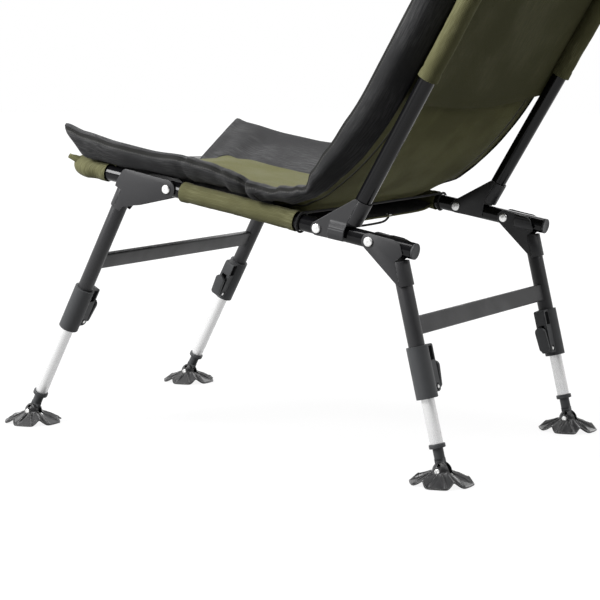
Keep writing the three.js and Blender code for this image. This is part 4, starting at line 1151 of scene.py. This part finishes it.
# %% Make the brackets
make_brackets("front", on_front, "front_legs", FRONT_CHEEK,
              [(-88.4, -13.3, 5), (-52.3, -63.2, 5), (-92.5, -33.6, 4)],
              (FRONT_LEG, -1, FRONT_DROP, FRONT_WRAP))
make_brackets("rear", on_rear, "rear_legs", REAR_CHEEK, [(32, -71.7, 3), (51.3, -30.2, 3)],
              (REAR_LEG, 1, REAR_DROP, REAR_WRAP), (-1, RAIL_TILT - REAR_LEAN))
make_brackets("back", on_back, "back_frame", BACK_CHEEK, [(33.2, BACK_RISE, 3)],
              (BACK_TUBE, 1, BACK_WRAP, BACK_RISE), (1, RAIL_TILT - BACK_LEAN))

# %% [markdown]
# ## Rivets and end caps
# Each rivet is a bright shank with a domed head at both ends and a small dimple where the tool held
# it. The head is a disc whose rim is bevelled round. The caps that close the rails are plastic plugs
# with a rounded rim and a slightly sunk face.

# %% Rivets
HEAD_RADIUS, HEAD_HEIGHT, HEAD_ROUND = 7.4 * MM, 3.2 * MM, 2.8 * MM
HEAD_OUT = 15.3 * MM
DIMPLE_RADIUS, DIMPLE_DEEP = 3.2 * MM, 0.9 * MM
SHANK_RADIUS, SHANK_LENGTH = 4 * MM, 31 * MM
QUARTER = math.radians(90)


def sink(obj, test, *steps):
    """Inset the faces that pass the test and move what is left, once for each pair of steps."""
    pick(obj, "FACE", test)
    for inwards, up in steps:
        bpy.ops.mesh.inset(thickness=inwards)
        bpy.ops.transform.translate(value=(0, 0, up))
    leave_edit()


def rivet_head(end):
    head = primitive("cylinder", "head", vertices=40, radius=HEAD_RADIUS, depth=HEAD_HEIGHT)
    pick(head, "FACE", lambda f: middle(f).z > 1.5 * MM)
    bpy.ops.mesh.bevel(offset=HEAD_ROUND, segments=7, profile=0.6)
    leave_edit()
    sink(head, lambda f: middle(f).z > 1.58 * MM and len(f.verts) > 20,
         (DIMPLE_RADIUS, 0.35 * MM), (0.5 * MM, -DIMPLE_DEEP))
    outwards = Matrix.Rotation(end * QUARTER, 4, "Y")
    head.data.transform(outwards @ Matrix.Translation((0, 0, HEAD_OUT + HEAD_HEIGHT / 2)))
    return head


RIVETS = {"front_leg": on_rails, "backrest": on_back, "rear_leg": on_rear}
for use, matrix in RIVETS.items():
    for name, side in SIDES:
        shank = primitive("cylinder", "shank", vertices=24, radius=SHANK_RADIUS, depth=SHANK_LENGTH,
                          rotation=(0, QUARTER, 0))
        rivet = joined(f"{use}_rivet_{name}_pin", shank, rivet_head(-1), rivet_head(1))
        place = matrix.translation
        turned = Matrix.Translation((side * RAIL_X, place.y, place.z)) @ Matrix.Rotation(0.7, 4, "X")
        settle(rivet, turned, STEEL, "seat_frame", [f"{use}_rivet_{name}"], 40)

# %% End caps
CAP_RADIUS, CAP_HEIGHT, CAP_RIM = 12.4 * MM, 3.4 * MM, 2.4 * MM
STEM_RADIUS, STEM_LENGTH = 10.7 * MM, 12 * MM
STEM_MIDDLE = -7.6 * MM
CAP_MIDDLE = 447 * MM
backwards = Matrix.Rotation(-math.pi / 2, 4, "X")
for name, side in SIDES:
    cap = primitive("cylinder", f"rail_end_cap_{name}_plug", vertices=48, radius=CAP_RADIUS, depth=CAP_HEIGHT)
    sink(cap, lambda f: middle(f).z > 1.6 * MM, (CAP_RIM, -0.5 * MM))
    soften(cap, 0.8 * MM, 4)
    stem = primitive("cylinder", "stem", vertices=32, radius=STEM_RADIUS, depth=STEM_LENGTH,
                     location=(0, 0, STEM_MIDDLE))
    cap = joined(cap.name, cap, stem)
    place = on_rails @ Matrix.Translation((side * RAIL_X, CAP_MIDDLE, 0)) @ backwards
    settle(cap, place, PLASTIC, "seat_frame", [f"rail_end_cap_{name}"])
print("rivet faces", len(rivet.data.polygons), "cap faces", len(cap.data.polygons))

# %% [markdown]
# ## Leg clamps
# A clamp is one moulding: a split collar round both tubes and a housing at its side, in which the cam
# lever turns. Collar and housing are bevelled primitives. Slot, pockets and the notches round the pin
# are cut with boxes, as a mould core would leave them, and all edges are then softened.

# %% Helpers: cutting
def block(name, low, high):
    size = [h - l for l, h in zip(low, high)]
    place = [(l + h) / 2 * MM for l, h in zip(low, high)]
    return primitive("cube", name, size=1, scale=[s * MM for s in size], location=place)


def rod(name, radius, half, x, z, sides=32):
    return primitive("cylinder", name, vertices=sides, radius=radius * MM, depth=2 * half * MM,
                     location=(x * MM, 0, z * MM), rotation=(QUARTER, 0, 0))


def cut_out(body, *tools):
    for tool in tools:
        modify(body, "BOOLEAN", operation="DIFFERENCE", solver="EXACT", object=tool)
        bpy.data.objects.remove(tool)
    return body


def weld(body, *others):
    for other in others:
        modify(body, "BOOLEAN", operation="UNION", solver="EXACT", object=other)
        bpy.data.objects.remove(other)
    return body


# %% One clamp, its axis on z and its housing towards +x
PIN_X, PIN_Z = 23, 13
CLAMP_RADIUS, HOUSING_HALF, HOUSING_OUT = 16.5, 9.5, 30
BORE_RADIUS, LOW_BORE_RADIUS = 12.7 * MM, 10.3 * MM
SLOT_HALF, SLOT_TOP = 5.2, 53
RING_RADIUS, RING_INNER = 6.2, 3.9


def build_clamp():
    body = primitive("cylinder", "clamp", vertices=64, radius=CLAMP_RADIUS * MM, depth=CLAMP_HEIGHT * MM,
                     location=(0, 0, CLAMP_HEIGHT / 2 * MM))
    housing = block("housing", (8, -HOUSING_HALF, PIN_Z), (HOUSING_OUT, HOUSING_HALF, CLAMP_HEIGHT))
    pick(housing, "EDGE", lambda e: all(v.co.x > (HOUSING_OUT - 1) * MM and v.co.z > (CLAMP_HEIGHT - 1) * MM
                                        for v in e.verts))
    bpy.ops.mesh.bevel(offset=4 * MM, segments=4)
    leave_edit()
    weld(body, housing, rod("boss", 7, HOUSING_HALF, PIN_X, PIN_Z),
         block("foot", (8, -HOUSING_HALF, 6), (PIN_X, HOUSING_HALF, 14)))
    cut_out(body, block("slot", (16.8, -SLOT_HALF, -6), (40, SLOT_HALF, SLOT_TOP)))
    for face in (-1, 1):
        low, high = sorted((face * 2, face * 16))
        cut_out(body, block("pocket", (14.8, low, 53.5), (26.8, high, 75)))
        ring = rod("ring", RING_RADIUS, 1.2, PIN_X, PIN_Z)
        inner = rod("inner", RING_INNER, 3, PIN_X, PIN_Z)
        for tool in (ring, inner):
            tool.data.transform(Matrix.Translation((0, face * 9 * MM, 0)))
        cut_out(ring, inner, block("rib_a", (12, -14, PIN_Z - 1), (PIN_X + 9, 14, PIN_Z + 0.6)),
                block("rib_b", (PIN_X - 0.8, -14, 0), (PIN_X + 0.8, 14, 30)),
                block("open", (PIN_X + 2, -14, 0), (40, 14, 30)))
        cut_out(body, ring)
    cut_out(body, primitive("cylinder", "bore", vertices=64, radius=BORE_RADIUS, depth=90 * MM,
                            location=(0, 0, (6 + 45) * MM)),
            primitive("cylinder", "low_bore", vertices=48, radius=LOW_BORE_RADIUS, depth=20 * MM))
    soften(body, 0.55 * MM, 2, 40)
    return body


# %% One cam lever in the same place
PADDLE_HALF, PADDLE_TOP, PADDLE_LEAN = 9.3, 51, 0.155


def runs_across(edge):
    return abs(edge.verts[0].co.x - edge.verts[1].co.x) > 2 * MM


def build_lever():
    paddle = block("lever", (31, -PADDLE_HALF, PIN_Z - 3), (36.5, PADDLE_HALF, PADDLE_TOP))
    pick(paddle, "EDGE", lambda e: runs_across(e) and all(v.co.z > 50 * MM for v in e.verts))
    bpy.ops.mesh.bevel(offset=8.9 * MM, segments=10)
    leave_edit()
    pick(paddle, "EDGE", lambda e: runs_across(e) and all(v.co.z < PIN_Z * MM for v in e.verts))
    bpy.ops.mesh.bevel(offset=5 * MM, segments=5)
    leave_edit()
    for vertex in paddle.data.vertices:
        vertex.co.x += PADDLE_LEAN * max(0, vertex.co.z - 12 * MM)
    soften(paddle, 1.1 * MM, 3, 45)
    hub = rod("hub", 6, 4.9, PIN_X, PIN_Z, 40)
    neck = block("neck", (PIN_X, -4.9, PIN_Z - 2), (33, 4.9, PIN_Z + 6))
    weld(hub, neck)
    soften(hub, 0.4 * MM, 2, 45)
    return joined("lever", paddle, hub)


def build_pin():
    pin = rod("pin", 2.6, 10.1, PIN_X, PIN_Z, 28)
    soften(pin, 0.5 * MM, 3)
    tip = rod("tip", 1.1, 10.3, PIN_X, PIN_Z, 16)
    return joined("pin", pin, tip)


# %% Place the clamps, pins and levers
clamp_form, lever_form, pin_form = build_clamp(), build_lever(), build_pin()
for prefix, pair in LEG_PAIRS.items():
    for name, side in SIDES:
        turn = Matrix.Rotation(math.pi if side > 0 else 0, 4, "Z")
        place = pair["frame"] @ Matrix.Translation(
            (side * RAIL_X, pair["y"], (pair["clamp"] - CLAMP_HEIGHT) * MM)) @ turn
        settle(twin(clamp_form, f"{prefix}_clamp_{name}_body"), place, PLASTIC, f"{prefix}_legs",
               [f"{prefix}_clamp_{name}"], 40)
        pin = twin(pin_form, f"{prefix}_clamp_{name}_pin")
        settle(pin, place, STEEL, f"{prefix}_legs", [], 40)
        settle(twin(lever_form, f"{prefix}_lever_{name}_paddle"), place, PLASTIC,
               f"{prefix}_lever_{name}", [f"{prefix}_lever_{name}"], 40)
for form in (clamp_form, lever_form, pin_form):
    bpy.data.objects.remove(form)

# %% [markdown]
# ## Foot sockets
# A plug in the bright inner leg ends in a collar, a round neck and a flat tongue, on which the foot
# swivels. It is turned from a cylinder by extruding and scaling its end, and the tongue is a plate.

# %% Build a foot socket round its pivot
PLUG_RADIUS, PLUG_LENGTH = 8 * MM, 16.5
COLLAR_STEPS = ((12.5, 0), (12.5, 6), (8.3, 0), (8.3, 12))
TONGUE_HALF, TONGUE_THICK = 7.5, 8


def build_socket():
    socket = primitive("cylinder", "socket", vertices=48, radius=PLUG_RADIUS, depth=PLUG_LENGTH * MM,
                       location=(0, 0, (COLLAR_RISE - PLUG_LENGTH / 2) * MM))
    pick(socket, "FACE", lambda f: middle(f).z > (COLLAR_RISE - 1) * MM)
    for wide, up in COLLAR_STEPS:
        bpy.ops.mesh.extrude_region_move(TRANSFORM_OT_translate={"value": (0, 0, up * MM)})
        mesh = bmesh.from_edit_mesh(socket.data)
        top = [v for v in mesh.verts if v.select]
        now = max(math.hypot(v.co.x, v.co.y) for v in top)
        bpy.ops.transform.resize(value=(wide * MM / now, wide * MM / now, 1),
                                 center_override=(0, 0, top[0].co.z))
    leave_edit()
    soften(socket, 0.7 * MM, 3, 40)
    half = TONGUE_THICK / 2
    tongue = block("tongue", (-half, -TONGUE_HALF, 0), (half, TONGUE_HALF, PLUG_LENGTH + 1))
    eye = primitive("cylinder", "eye", vertices=40, radius=TONGUE_HALF * MM, depth=TONGUE_THICK * MM,
                    rotation=(0, QUARTER, 0))
    weld(tongue, eye)
    soften(tongue, 0.5 * MM, 2, 40)
    return joined("socket", socket, tongue)


# %% [markdown]
# ## Mud feet
# A mud foot is a shallow five-petalled shell under a dome. Two ribs run down each petal from the dome
# and fence in a flat, sunken panel, and the petal's rim has a raised lip. It starts as a grid round
# the dome, whose heights follow the petals, and Solidify makes it a shell with an even wall.

# %% Heights of the shell, in millimetres from the ground
PIVOT_RISE = 21
FOOT_TURN = math.radians(18)
PETAL = 2 * math.pi / 5
FOOT_REACH, NOTCH = 49, 8.5
PETAL_FLAT, RIM_BOW = 0.42, 0.42
SHELL_TOP, RIM_LOW, RIM_RISE = 20, 2.9, 8.0
RIB_HEIGHT, RIB_WIDTH, LIP_HEIGHT = 4.2, 0.075, 0.9
DOME, DOME_HEIGHT, DOME_EDGE = 14.8, 13.5, 15.4


def petal_reach(angle):
    """How far the petals reach at this angle, and where it lies from a petal's middle, 0, to its side, 1."""
    part = abs(((angle - FOOT_TURN + PETAL / 2) % PETAL) - PETAL / 2) / (PETAL / 2)
    if part < PETAL_FLAT:
        return FOOT_REACH / math.cos(part * RIM_BOW) * 0.985, part
    return FOOT_REACH - NOTCH * soft(part, PETAL_FLAT, 1.0), part


def foot_height(angle, share):
    part = petal_reach(angle)[1]
    edge = RIM_RISE * soft(part, 0.5, 1.0) + RIM_LOW
    slope = SHELL_TOP + (edge - SHELL_TOP) * (share ** 0.74)
    rib_part = 0.30 + 0.16 * share
    rib = math.exp(-((part - rib_part) / RIB_WIDTH) ** 2)
    middle_rib = 0.5 * math.exp(-((part - 1) / 0.10) ** 2) * (1 - share)
    body = math.sin(math.pi * min(1, share * 1.06)) ** 0.6 if 0 < share < 0.94 else 0
    rise = RIB_HEIGHT * rib * body + 2 * middle_rib
    lip = LIP_HEIGHT * soft(share, 0.93, 0.985)
    return slope + rise + lip


# %% Build a mud foot round its pivot
AROUND, ALONG = 160, 22


def foot_rings():
    """The shell's points ring by ring, from the top of the dome to the petals' rim."""
    angles = [2 * math.pi * k / AROUND for k in range(AROUND)]
    rings = []
    for rise in (math.radians(a) for a in (86, 74, 62, 50, 38, 26, 12, 2)):
        radius, height = DOME * math.cos(rise), PIVOT_RISE - 1 + DOME_HEIGHT * math.sin(rise)
        rings.append([Vector((radius * math.cos(t), radius * math.sin(t), height)) for t in angles])
    for share in (step / ALONG for step in range(ALONG + 1)):
        ring = []
        for t in angles:
            radius = DOME_EDGE + (petal_reach(t)[0] - DOME_EDGE) * share
            ring.append(Vector((radius * math.cos(t), radius * math.sin(t), foot_height(t, share))))
        rings.append(ring)
    return rings


def ring_order(vertex):
    angle = math.atan2(vertex.co.y, vertex.co.x) % (2 * math.pi)
    return -round(vertex.co.z / MM, 3), angle


def build_foot():
    rings = foot_rings()
    foot = primitive("circle", "foot", vertices=AROUND, radius=MM)
    pick(foot, "EDGE", lambda e: True)
    for _ in rings[1:]:
        extrude_by(0, 0, -0.01 * MM)
    leave_edit()
    for index, vertex in enumerate(sorted(foot.data.vertices, key=ring_order)):
        vertex.co = (rings[index // AROUND][index % AROUND] - Vector((0, 0, PIVOT_RISE))) * MM
    pick(foot, "EDGE", lambda e: all(v.co.z > 12.3 * MM for v in e.verts) and e.is_boundary)
    bpy.ops.mesh.edge_face_add()
    leave_edit()
    turn_out(foot)
    modify(foot, "SOLIDIFY", thickness=2.4 * MM, offset=1)
    turn_out(foot)
    dome = primitive("uv_sphere", "dome", segments=48, ring_count=24, radius=14 * MM,
                     location=(0, 0, -0.6 * MM))
    pick(dome, "VERT", lambda v: v.co.z < -9 * MM)
    bpy.ops.transform.resize(value=(1, 1, 0), center_override=(0, 0, -9 * MM))
    leave_edit()
    foot = joined("foot", foot, dome)
    modify(foot, "REMESH", mode="VOXEL", voxel_size=0.8 * MM)
    cut_out(foot, block("slot", (-4.4, -21, -7), (4.4, 21, 20)))
    cut_out(foot, block("window", (-20, -2.6, 4.2), (20, 2.6, 10.4)))
    return foot


SCREW_RADIUS, SCREW_HEAD = 2.4 * MM, 15.8 * MM
BOSS_RADIUS, BOSS_LENGTH = 6.4 * MM, 30 * MM


def build_screw():
    parts = [primitive("cylinder", "shank", vertices=24, radius=SCREW_RADIUS, depth=31 * MM,
                       rotation=(0, QUARTER, 0))]
    for end in (-1, 1):
        head = primitive("cylinder", "screw_head", vertices=32, radius=4.2 * MM, depth=2.6 * MM)
        soften(head, 1 * MM, 3)
        cut_out(head, block("slot_a", (-0.5, -2.8, 0.4), (0.5, 2.8, 3)),
                block("slot_b", (-2.8, -0.5, 0.4), (2.8, 0.5, 3)))
        outwards = Matrix.Rotation(end * QUARTER, 4, "Y")
        head.data.transform(outwards @ Matrix.Translation((0, 0, SCREW_HEAD)))
        parts.append(head)
    return joined("screw", *parts)


def build_boss():
    boss = primitive("cylinder", "boss", vertices=40, radius=BOSS_RADIUS, depth=BOSS_LENGTH,
                     rotation=(0, QUARTER, 0))
    cut_out(boss, block("gap", (-4.4, -9, -9), (4.4, 9, 9)))
    soften(boss, 0.6 * MM, 2, 40)
    return boss


# %% Place sockets, feet and screws
socket_form, foot_form, screw_form, boss_form = build_socket(), build_foot(), build_screw(), build_boss()
for prefix, pair in LEG_PAIRS.items():
    for name, side in SIDES:
        pivot = Matrix.Translation((side * RAIL_X, pair["y"], pair["foot"] * MM))
        place = pair["frame"] @ pivot
        settle(twin(socket_form, f"{prefix}_foot_socket_{name}_plug"), place, PLASTIC,
               f"{prefix}_inner_leg_{name}", [f"{prefix}_foot_socket_{name}"], 40)
        level = Matrix.Translation(place.translation)
        settle(twin(foot_form, f"{prefix}_foot_{name}_shell"), level, FOOT_PLASTIC,
               f"{prefix}_foot_{name}", [f"{prefix}_foot_{name}"], 50)
        settle(twin(boss_form, f"{prefix}_foot_{name}_boss"), level, FOOT_PLASTIC,
               f"{prefix}_foot_{name}", [], 40)
        settle(twin(screw_form, f"{prefix}_foot_{name}_screw"), level, STEEL,
               f"{prefix}_foot_{name}", [], 40)
for form in (socket_form, foot_form, screw_form, boss_form):
    bpy.data.objects.remove(form)

# %% [markdown]
# ## Sleeves
# Olive cloth is sewn round the tubes. A sleeve is a circle extruded along its tube, a little looser
# than the tube. A turned hem near each open end pinches it, and slow folds keep it from looking
# turned on a lathe. Solidify gives the cloth its thickness.

# %% Helpers: cloth on a tube
SLEEVE = SLEEVE_RADIUS * MM
CLOTH = 1.2 * MM
HEM = 14


def lay_out(obj, spot):
    """Give each corner of the mesh the place on the flat cloth that spot says for its vertex."""
    uv = obj.data.uv_layers.active
    for loop in obj.data.loops:
        uv.data[loop.index].uv = spot(obj.data.vertices[loop.vertex_index].co)


def hem_rise(near, rise):
    return rise * soft(near, HEM + 2, HEM - 2) + 0.5 * math.exp(-((near - 1.5) / 1.6) ** 2)


def cloth_tube(name, low, high, seed):
    tube = primitive("circle", name, vertices=56, radius=SLEEVE, location=(0, 0, low))
    pick(tube, "VERT", lambda v: True)
    count = round((high - low) / (5 * MM))
    for _ in range(count):
        extrude_by(0, 0, (high - low) / count)
    leave_edit()
    lay_out(tube, lambda co: (math.atan2(co.y, co.x) * SLEEVE, co.z))
    for vertex in tube.data.vertices:
        co = vertex.co
        near = min(co.z - low, high - co.z) / MM
        seam = -0.9 * math.exp(-((near - HEM) / 1.3) ** 2)
        fold = 0.7 * noise.noise(Vector((co.x * 40, co.y * 40, co.z * 26 + seed)))
        across = 0.35 * noise.noise(Vector((co.x * 120, co.y * 120, co.z * 90 + seed)))
        stretch = 1 + (hem_rise(near, 0.75) + seam + fold + across) * MM / SLEEVE
        co.x *= stretch
        co.y *= stretch
    modify(tube, "SOLIDIFY", thickness=CLOTH, offset=-1)
    turn_out(tube)
    return tube


# %% Sleeves on the rails and on the back tubes
RAIL_SLEEVE = (24.5 * MM, 240 * MM)
BACK_SLEEVE = (285 * MM, BACK_HEM * MM)
splay = math.atan2(BACK_SPLAY, BACK_TOP - BACK_CORNER - BACK_BEND)
for name, side in SIDES:
    sleeve = cloth_tube(f"main_sleeve_{name}_cloth", *RAIL_SLEEVE, seed=3 * side)
    settle(sleeve, on_rails @ Matrix.Translation((side * RAIL_X, 0, 0)) @ backwards,
           OLIVE, "seat_frame", [f"main_sleeve_{name}"], 60)
    sleeve = cloth_tube(f"back_sleeve_{name}_cloth", *BACK_SLEEVE, seed=7 * side)
    bend = Matrix.Translation((side * RAIL_X, BACK_TUBE * MM, BACK_BEND * MM))
    lean = bend @ Matrix.Rotation(side * splay, 4, "Y") @ Matrix.Translation((0, 0, -BACK_BEND * MM))
    settle(sleeve, on_back @ lean, OLIVE, "back_frame", [f"back_sleeve_{name}"], 60)

# %% Sleeve round the front tube
FRONT_HEM = 127 * MM


def front_sleeve():
    half, corner, top, low = RAIL_X, FRONT_CORNER * MM, FRONT_TUBE * MM, FRONT_HEM
    sleeve = primitive("circle", "front_sleeve_cloth", vertices=48, radius=SLEEVE, location=(half, 0, low))
    pick(sleeve, "VERT", lambda v: True)
    for _ in range(4):
        extrude_by(0, 0, (top - corner - low) / 4)
    spin_corner(half - corner, top - corner, 14)
    for _ in range(50):
        extrude_by(2 * (corner - half) / 50, 0, 0)
    spin_corner(corner - half, top - corner, 14)
    for _ in range(4):
        extrude_by(0, 0, (low - top + corner) / 4)
    leave_edit()
    turn_out(sleeve, merge=True)
    lay_out(sleeve, lambda co: (co.x - co.z, co.y * 1.6))
    normals = [v.normal.copy() for v in sleeve.data.vertices]
    for vertex, normal in zip(sleeve.data.vertices, normals):
        co = vertex.co
        near = (co.z - low) / MM
        seam = -0.9 * math.exp(-((near - HEM - co.y / MM * 0.3) / 1.3) ** 2)
        turning = soft(co.z / MM, 143, 160) * soft(abs(co.x) / MM, 181, 200)
        outward = max(0, normal.x * (1 if co.x > 0 else -1) + normal.z) * turning
        fold = 0.8 * noise.noise(co * 34) + 0.35 * noise.noise(co * 110)
        vertex.co = co + normal * (hem_rise(near, 0.7) + seam + fold + 6.5 * outward) * MM
    modify(sleeve, "SOLIDIFY", thickness=CLOTH, offset=-1)
    lower_front(sleeve)
    return sleeve


def front_tail():
    """The loose end of the front sleeve's cloth, which stands out at its left corner."""
    tail = primitive("cone", "front_sleeve_tail", vertices=20, radius1=9.5 * MM, radius2=3.6 * MM,
                     depth=30 * MM)
    pick(tail, "FACE", lambda f: abs(middle(f).z) < 12 * MM)
    bpy.ops.mesh.subdivide(number_cuts=5)
    leave_edit()
    soften(tail, 1.2 * MM, 3, 60)
    for vertex in tail.data.vertices:
        bend = max(0, vertex.co.z + 4 * MM) / (26 * MM)
        vertex.co.x += 9 * MM * bend ** 2 + 0.7 * MM * noise.noise(vertex.co * 300)
        vertex.co.y += 0.9 * MM * noise.noise(vertex.co * 260 + Vector((5, 0, 0)))
    lay_out(tail, lambda co: (math.atan2(co.y, co.x) * 7 * MM, co.z))
    turn = Vector((0.55, 0.35, 0.78)).normalized().to_track_quat("Z", "X").to_matrix().to_4x4()
    corner = Vector((RAIL_HALF + 3, 9, FRONT_TUBE - 2)) * MM
    tail.data.transform(Matrix.Translation(corner) @ turn)
    lower_front(tail)
    return tail


bent_sleeve, sleeve_tail = front_sleeve(), front_tail()
settle(bent_sleeve, forwards, OLIVE, "seat_frame", ["front_sleeve"], 60)
settle(sleeve_tail, forwards, OLIVE, "seat_frame", [], 60)
print("sleeves done")

# %% [markdown]
# ## The cloths between the tubes
# The seat's sling hangs between its sleeves and carries the quilt, and the back's sling is stretched
# between the back tubes. Each is a grid laid between its sleeves, given its sag and its folds, and
# made a sheet. Its edges run into the sleeves, with which it is sewn.

# %% Helper: a cloth from a grid
def cloth_grid(name, columns, rows, place, thickness, offset=-1):
    sheet = primitive("grid", name, x_subdivisions=columns, y_subdivisions=rows, size=2)
    uv = sheet.data.uv_layers.active
    spots = {}
    for vertex in sheet.data.vertices:
        vertex_place = place(vertex.co.x, (vertex.co.y + 1) / 2)
        spots[vertex.index] = vertex_place
        vertex.co = vertex_place * MM
    for loop in sheet.data.loops:
        spot = spots[loop.vertex_index]
        uv.data[loop.index].uv = (spot.x * MM, (spot.y + spot.z) * MM)
    modify(sheet, "SOLIDIFY", thickness=thickness * MM, offset=offset)
    turn_out(sheet)
    return sheet


# %% Seat sling, in the frame of the rails
HEM_BEHIND = 240
FRONT_EDGE = SLEEVE_RADIUS + GAP - FRONT_TUBE
SLING_HALF = RAIL_HALF - SLEEVE_RADIUS
PULLED_HALF = 196
EYELET_X, EYELET_IN = 70, 6
EDGE_SAG, MIDDLE_SAG, REAR_SAG = 3, 19, 12
REAR_START = 125


def sling_place(across, share):
    along = FRONT_EDGE + (HEM_BEHIND - FRONT_EDGE) * share
    into = max(0, FRONT_CORNER - FRONT_TUBE - along)
    inside = FRONT_CORNER - SLEEVE_RADIUS - GAP
    half = SLING_HALF
    if into > 0:
        half = RAIL_HALF - FRONT_CORNER + math.sqrt(max(0, inside ** 2 - min(into, inside) ** 2))
    pulled = soft(along, -136, -122) * (1 - soft(along, 14, 26))
    half = half + (PULLED_HALF - half) * pulled
    to_rear = min(1, max(0, (along - REAR_START) / (HEM_BEHIND - REAR_START)))
    to_front = min(1, 0.3 + max(0, (along - FRONT_EDGE) / FRONT_CORNER))
    drop = EDGE_SAG + (MIDDLE_SAG + (REAR_SAG - MIDDLE_SAG) * to_rear - EDGE_SAG) * to_front
    x = across * half
    share_out = abs(x) / SLING_HALF
    height = -drop - 0.6 - 0.08 * drop * (1 - share_out ** 2) + (drop - EDGE_SAG) * share_out ** 12
    fold = 0.5 * noise.noise(Vector((x / 30, along / 60, 2))) * (1 - abs(across))
    hem = -0.4 * soft(share, 0.95, 0.96)
    return Vector((x, along, height + fold + hem - 0.3))


sling = cloth_grid("seat_sling_cloth", 84, 90, sling_place, 1.8)
# The sling is the quilt's black cloth, with olive only along its rear hem.
settle(sling, on_rails, BLACK_QUILT, "seat_frame", ["seat_sling"], 60)
sling.data.materials.append(OLIVE)
for polygon in sling.data.polygons:
    spot = on_rails.inverted() @ polygon.center / MM
    if spot.y > HEM_BEHIND - 5:
        polygon.material_index = 1
for name, side in SIDES:
    height = sling_place(side * EYELET_X / SLING_HALF, 0.99).z
    ring = primitive("torus", f"sling_eyelet_{name}", major_radius=4.4 * MM, minor_radius=1.1 * MM,
                     major_segments=32, minor_segments=12)
    place = Matrix.Translation(Vector((side * EYELET_X, HEM_BEHIND - EYELET_IN, height - 0.9)) * MM)
    settle(ring, on_rails @ place @ Matrix.Diagonal((1, 1, 1.9, 1)), STEEL, "seat_frame", [],
           60)

# %% Back sling, in the frame of the back
def back_half(rise):
    splayed = (rise - BACK_BEND) / (BACK_TOP - BACK_CORNER - BACK_BEND)
    return RAIL_HALF + BACK_SPLAY * min(1, max(0, splayed))


def back_sling_place(across, share):
    low = 240 - 18 * (1 - across ** 2)
    rise = low + (BACK_HEM - low) * share
    tight = BACK_TUBE - SLEEVE_RADIUS + 2
    x = across * (back_half(rise) - 6)
    inward = 1.8 * soft(abs(across), 0.97, 1.0)
    fold = 0.8 * noise.noise(Vector((x / 60, rise / 120, 5))) * (1 - abs(across) ** 4)
    hem = 0.8 * soft(share * (BACK_HEM - low), 14, 10)
    return Vector((x, tight + inward + fold + hem, rise))


back_sling = cloth_grid("back_sling_cloth", 90, 64, back_sling_place, 2.0, 0)
# The back sling gets the darker olive, which is painted shade.
settle(back_sling, on_back, OLIVE_PAINTED_SHADE, "back_frame", ["back_sling"], 60)
print("slings", len(sling.data.polygons), len(back_sling.data.polygons))

# %% [markdown]
# ## Elastics
# One elastic is tied across the rails behind the sling. A second one hangs as a loop from two eyelets
# in the sling's hem. Each is a circle extruded along its line, as a cord is laid.

# %% Helper: a cord along a line of points
def cord_along(name, points, radius):
    cord = primitive("circle", name, vertices=12, radius=radius)
    heading = (points[1] - points[0]).normalized()
    facing = heading.to_track_quat("Z", "Y").to_matrix().to_4x4()
    cord.data.transform(Matrix.Translation(points[0]) @ facing)
    pick(cord, "EDGE", lambda e: True)
    bpy.ops.mesh.edge_face_add()
    for before, here, after in zip(points, points[1:], points[2:] + [points[-1] * 2 - points[-2]]):
        step = here - before
        extrude_by(*step)
        turn = step.rotation_difference(after - here)
        axis, angle = turn.to_axis_angle()
        if angle > 1e-4:
            mesh = bmesh.from_edit_mesh(cord.data)
            for vertex in mesh.verts:
                if vertex.select:
                    vertex.co = here + Matrix.Rotation(angle, 3, axis) @ (vertex.co - here)
            bmesh.update_edit_mesh(cord.data)
    leave_edit()
    turn_out(cord)
    return cord


ELASTIC_Y, ELASTIC_Z = 248.05, 14.8
ELASTIC_RADIUS, LOOP_RADIUS = 2 * MM, 1.9 * MM
elastic_line = []
for x in range(-RAIL_HALF, RAIL_HALF + 1, 8):
    sag = 1.2 * (1 - (x / RAIL_HALF) ** 2)
    elastic_line.append(Vector((x, ELASTIC_Y + 0.8 * math.sin(x / 47), ELASTIC_Z - sag)) * MM)
elastic = cord_along("rear_elastic_cord", elastic_line, ELASTIC_RADIUS)
wraps = []
for name, side in SIDES:
    wraps.append(primitive("torus", "wrap", major_radius=14.9 * MM, minor_radius=ELASTIC_RADIUS,
                           major_segments=56, minor_segments=12, rotation=(QUARTER, 0, 0),
                           location=(side * RAIL_X, ELASTIC_Y * MM, 0)))
wraps = joined("rear_elastic_wraps", *wraps)
settle(wraps, on_rails, CORD, "seat_frame", [], 60)
settle(elastic, on_rails, CORD, "seat_frame", ["rear_elastic"], 60)


def run_length(points):
    return sum((b - a).length for a, b in zip(points, points[1:]))


# %% The loop in the hem
EYELET_Y = HEM_BEHIND - EYELET_IN
eyelet_z = sling_place(EYELET_X / SLING_HALF, 0.99).z
knots_at = [Vector((side * EYELET_X, EYELET_Y, eyelet_z + 3)) * MM for _, side in SIDES]
loop_line = [knots_at[0]]
for k in range(41):
    share = 1 - k / 20
    drop = 7.5 * (1 - abs(share) ** 8) + 3.4
    behind = 3 * math.sin(math.pi * (1 + share) / 2)
    loop_line.append(Vector((share * EYELET_X, EYELET_Y + behind, eyelet_z - drop)) * MM)
loop_line.append(knots_at[1])
hem_loop = cord_along("hem_loop_cord", loop_line, LOOP_RADIUS)
knots = joined("hem_loop_knots", *[
    primitive("uv_sphere", "knot", segments=16, ring_count=10, radius=3 * MM, location=place)
    for place in knots_at])
settle(knots, on_rails, CORD, "seat_frame", [], 60)
settle(hem_loop, on_rails, CORD, "seat_frame", ["hem_loop"], 60)
print("elastic", round(run_length(elastic_line), 3), "loop", round(run_length(loop_line), 3))

# %% [markdown]
# ## The cloths
# Each sling and sleeve was cut flat before it was sewn round its tubes. The slings are pulled
# between the rails, and the sleeves fit their tubes closely.

print("cloths done")
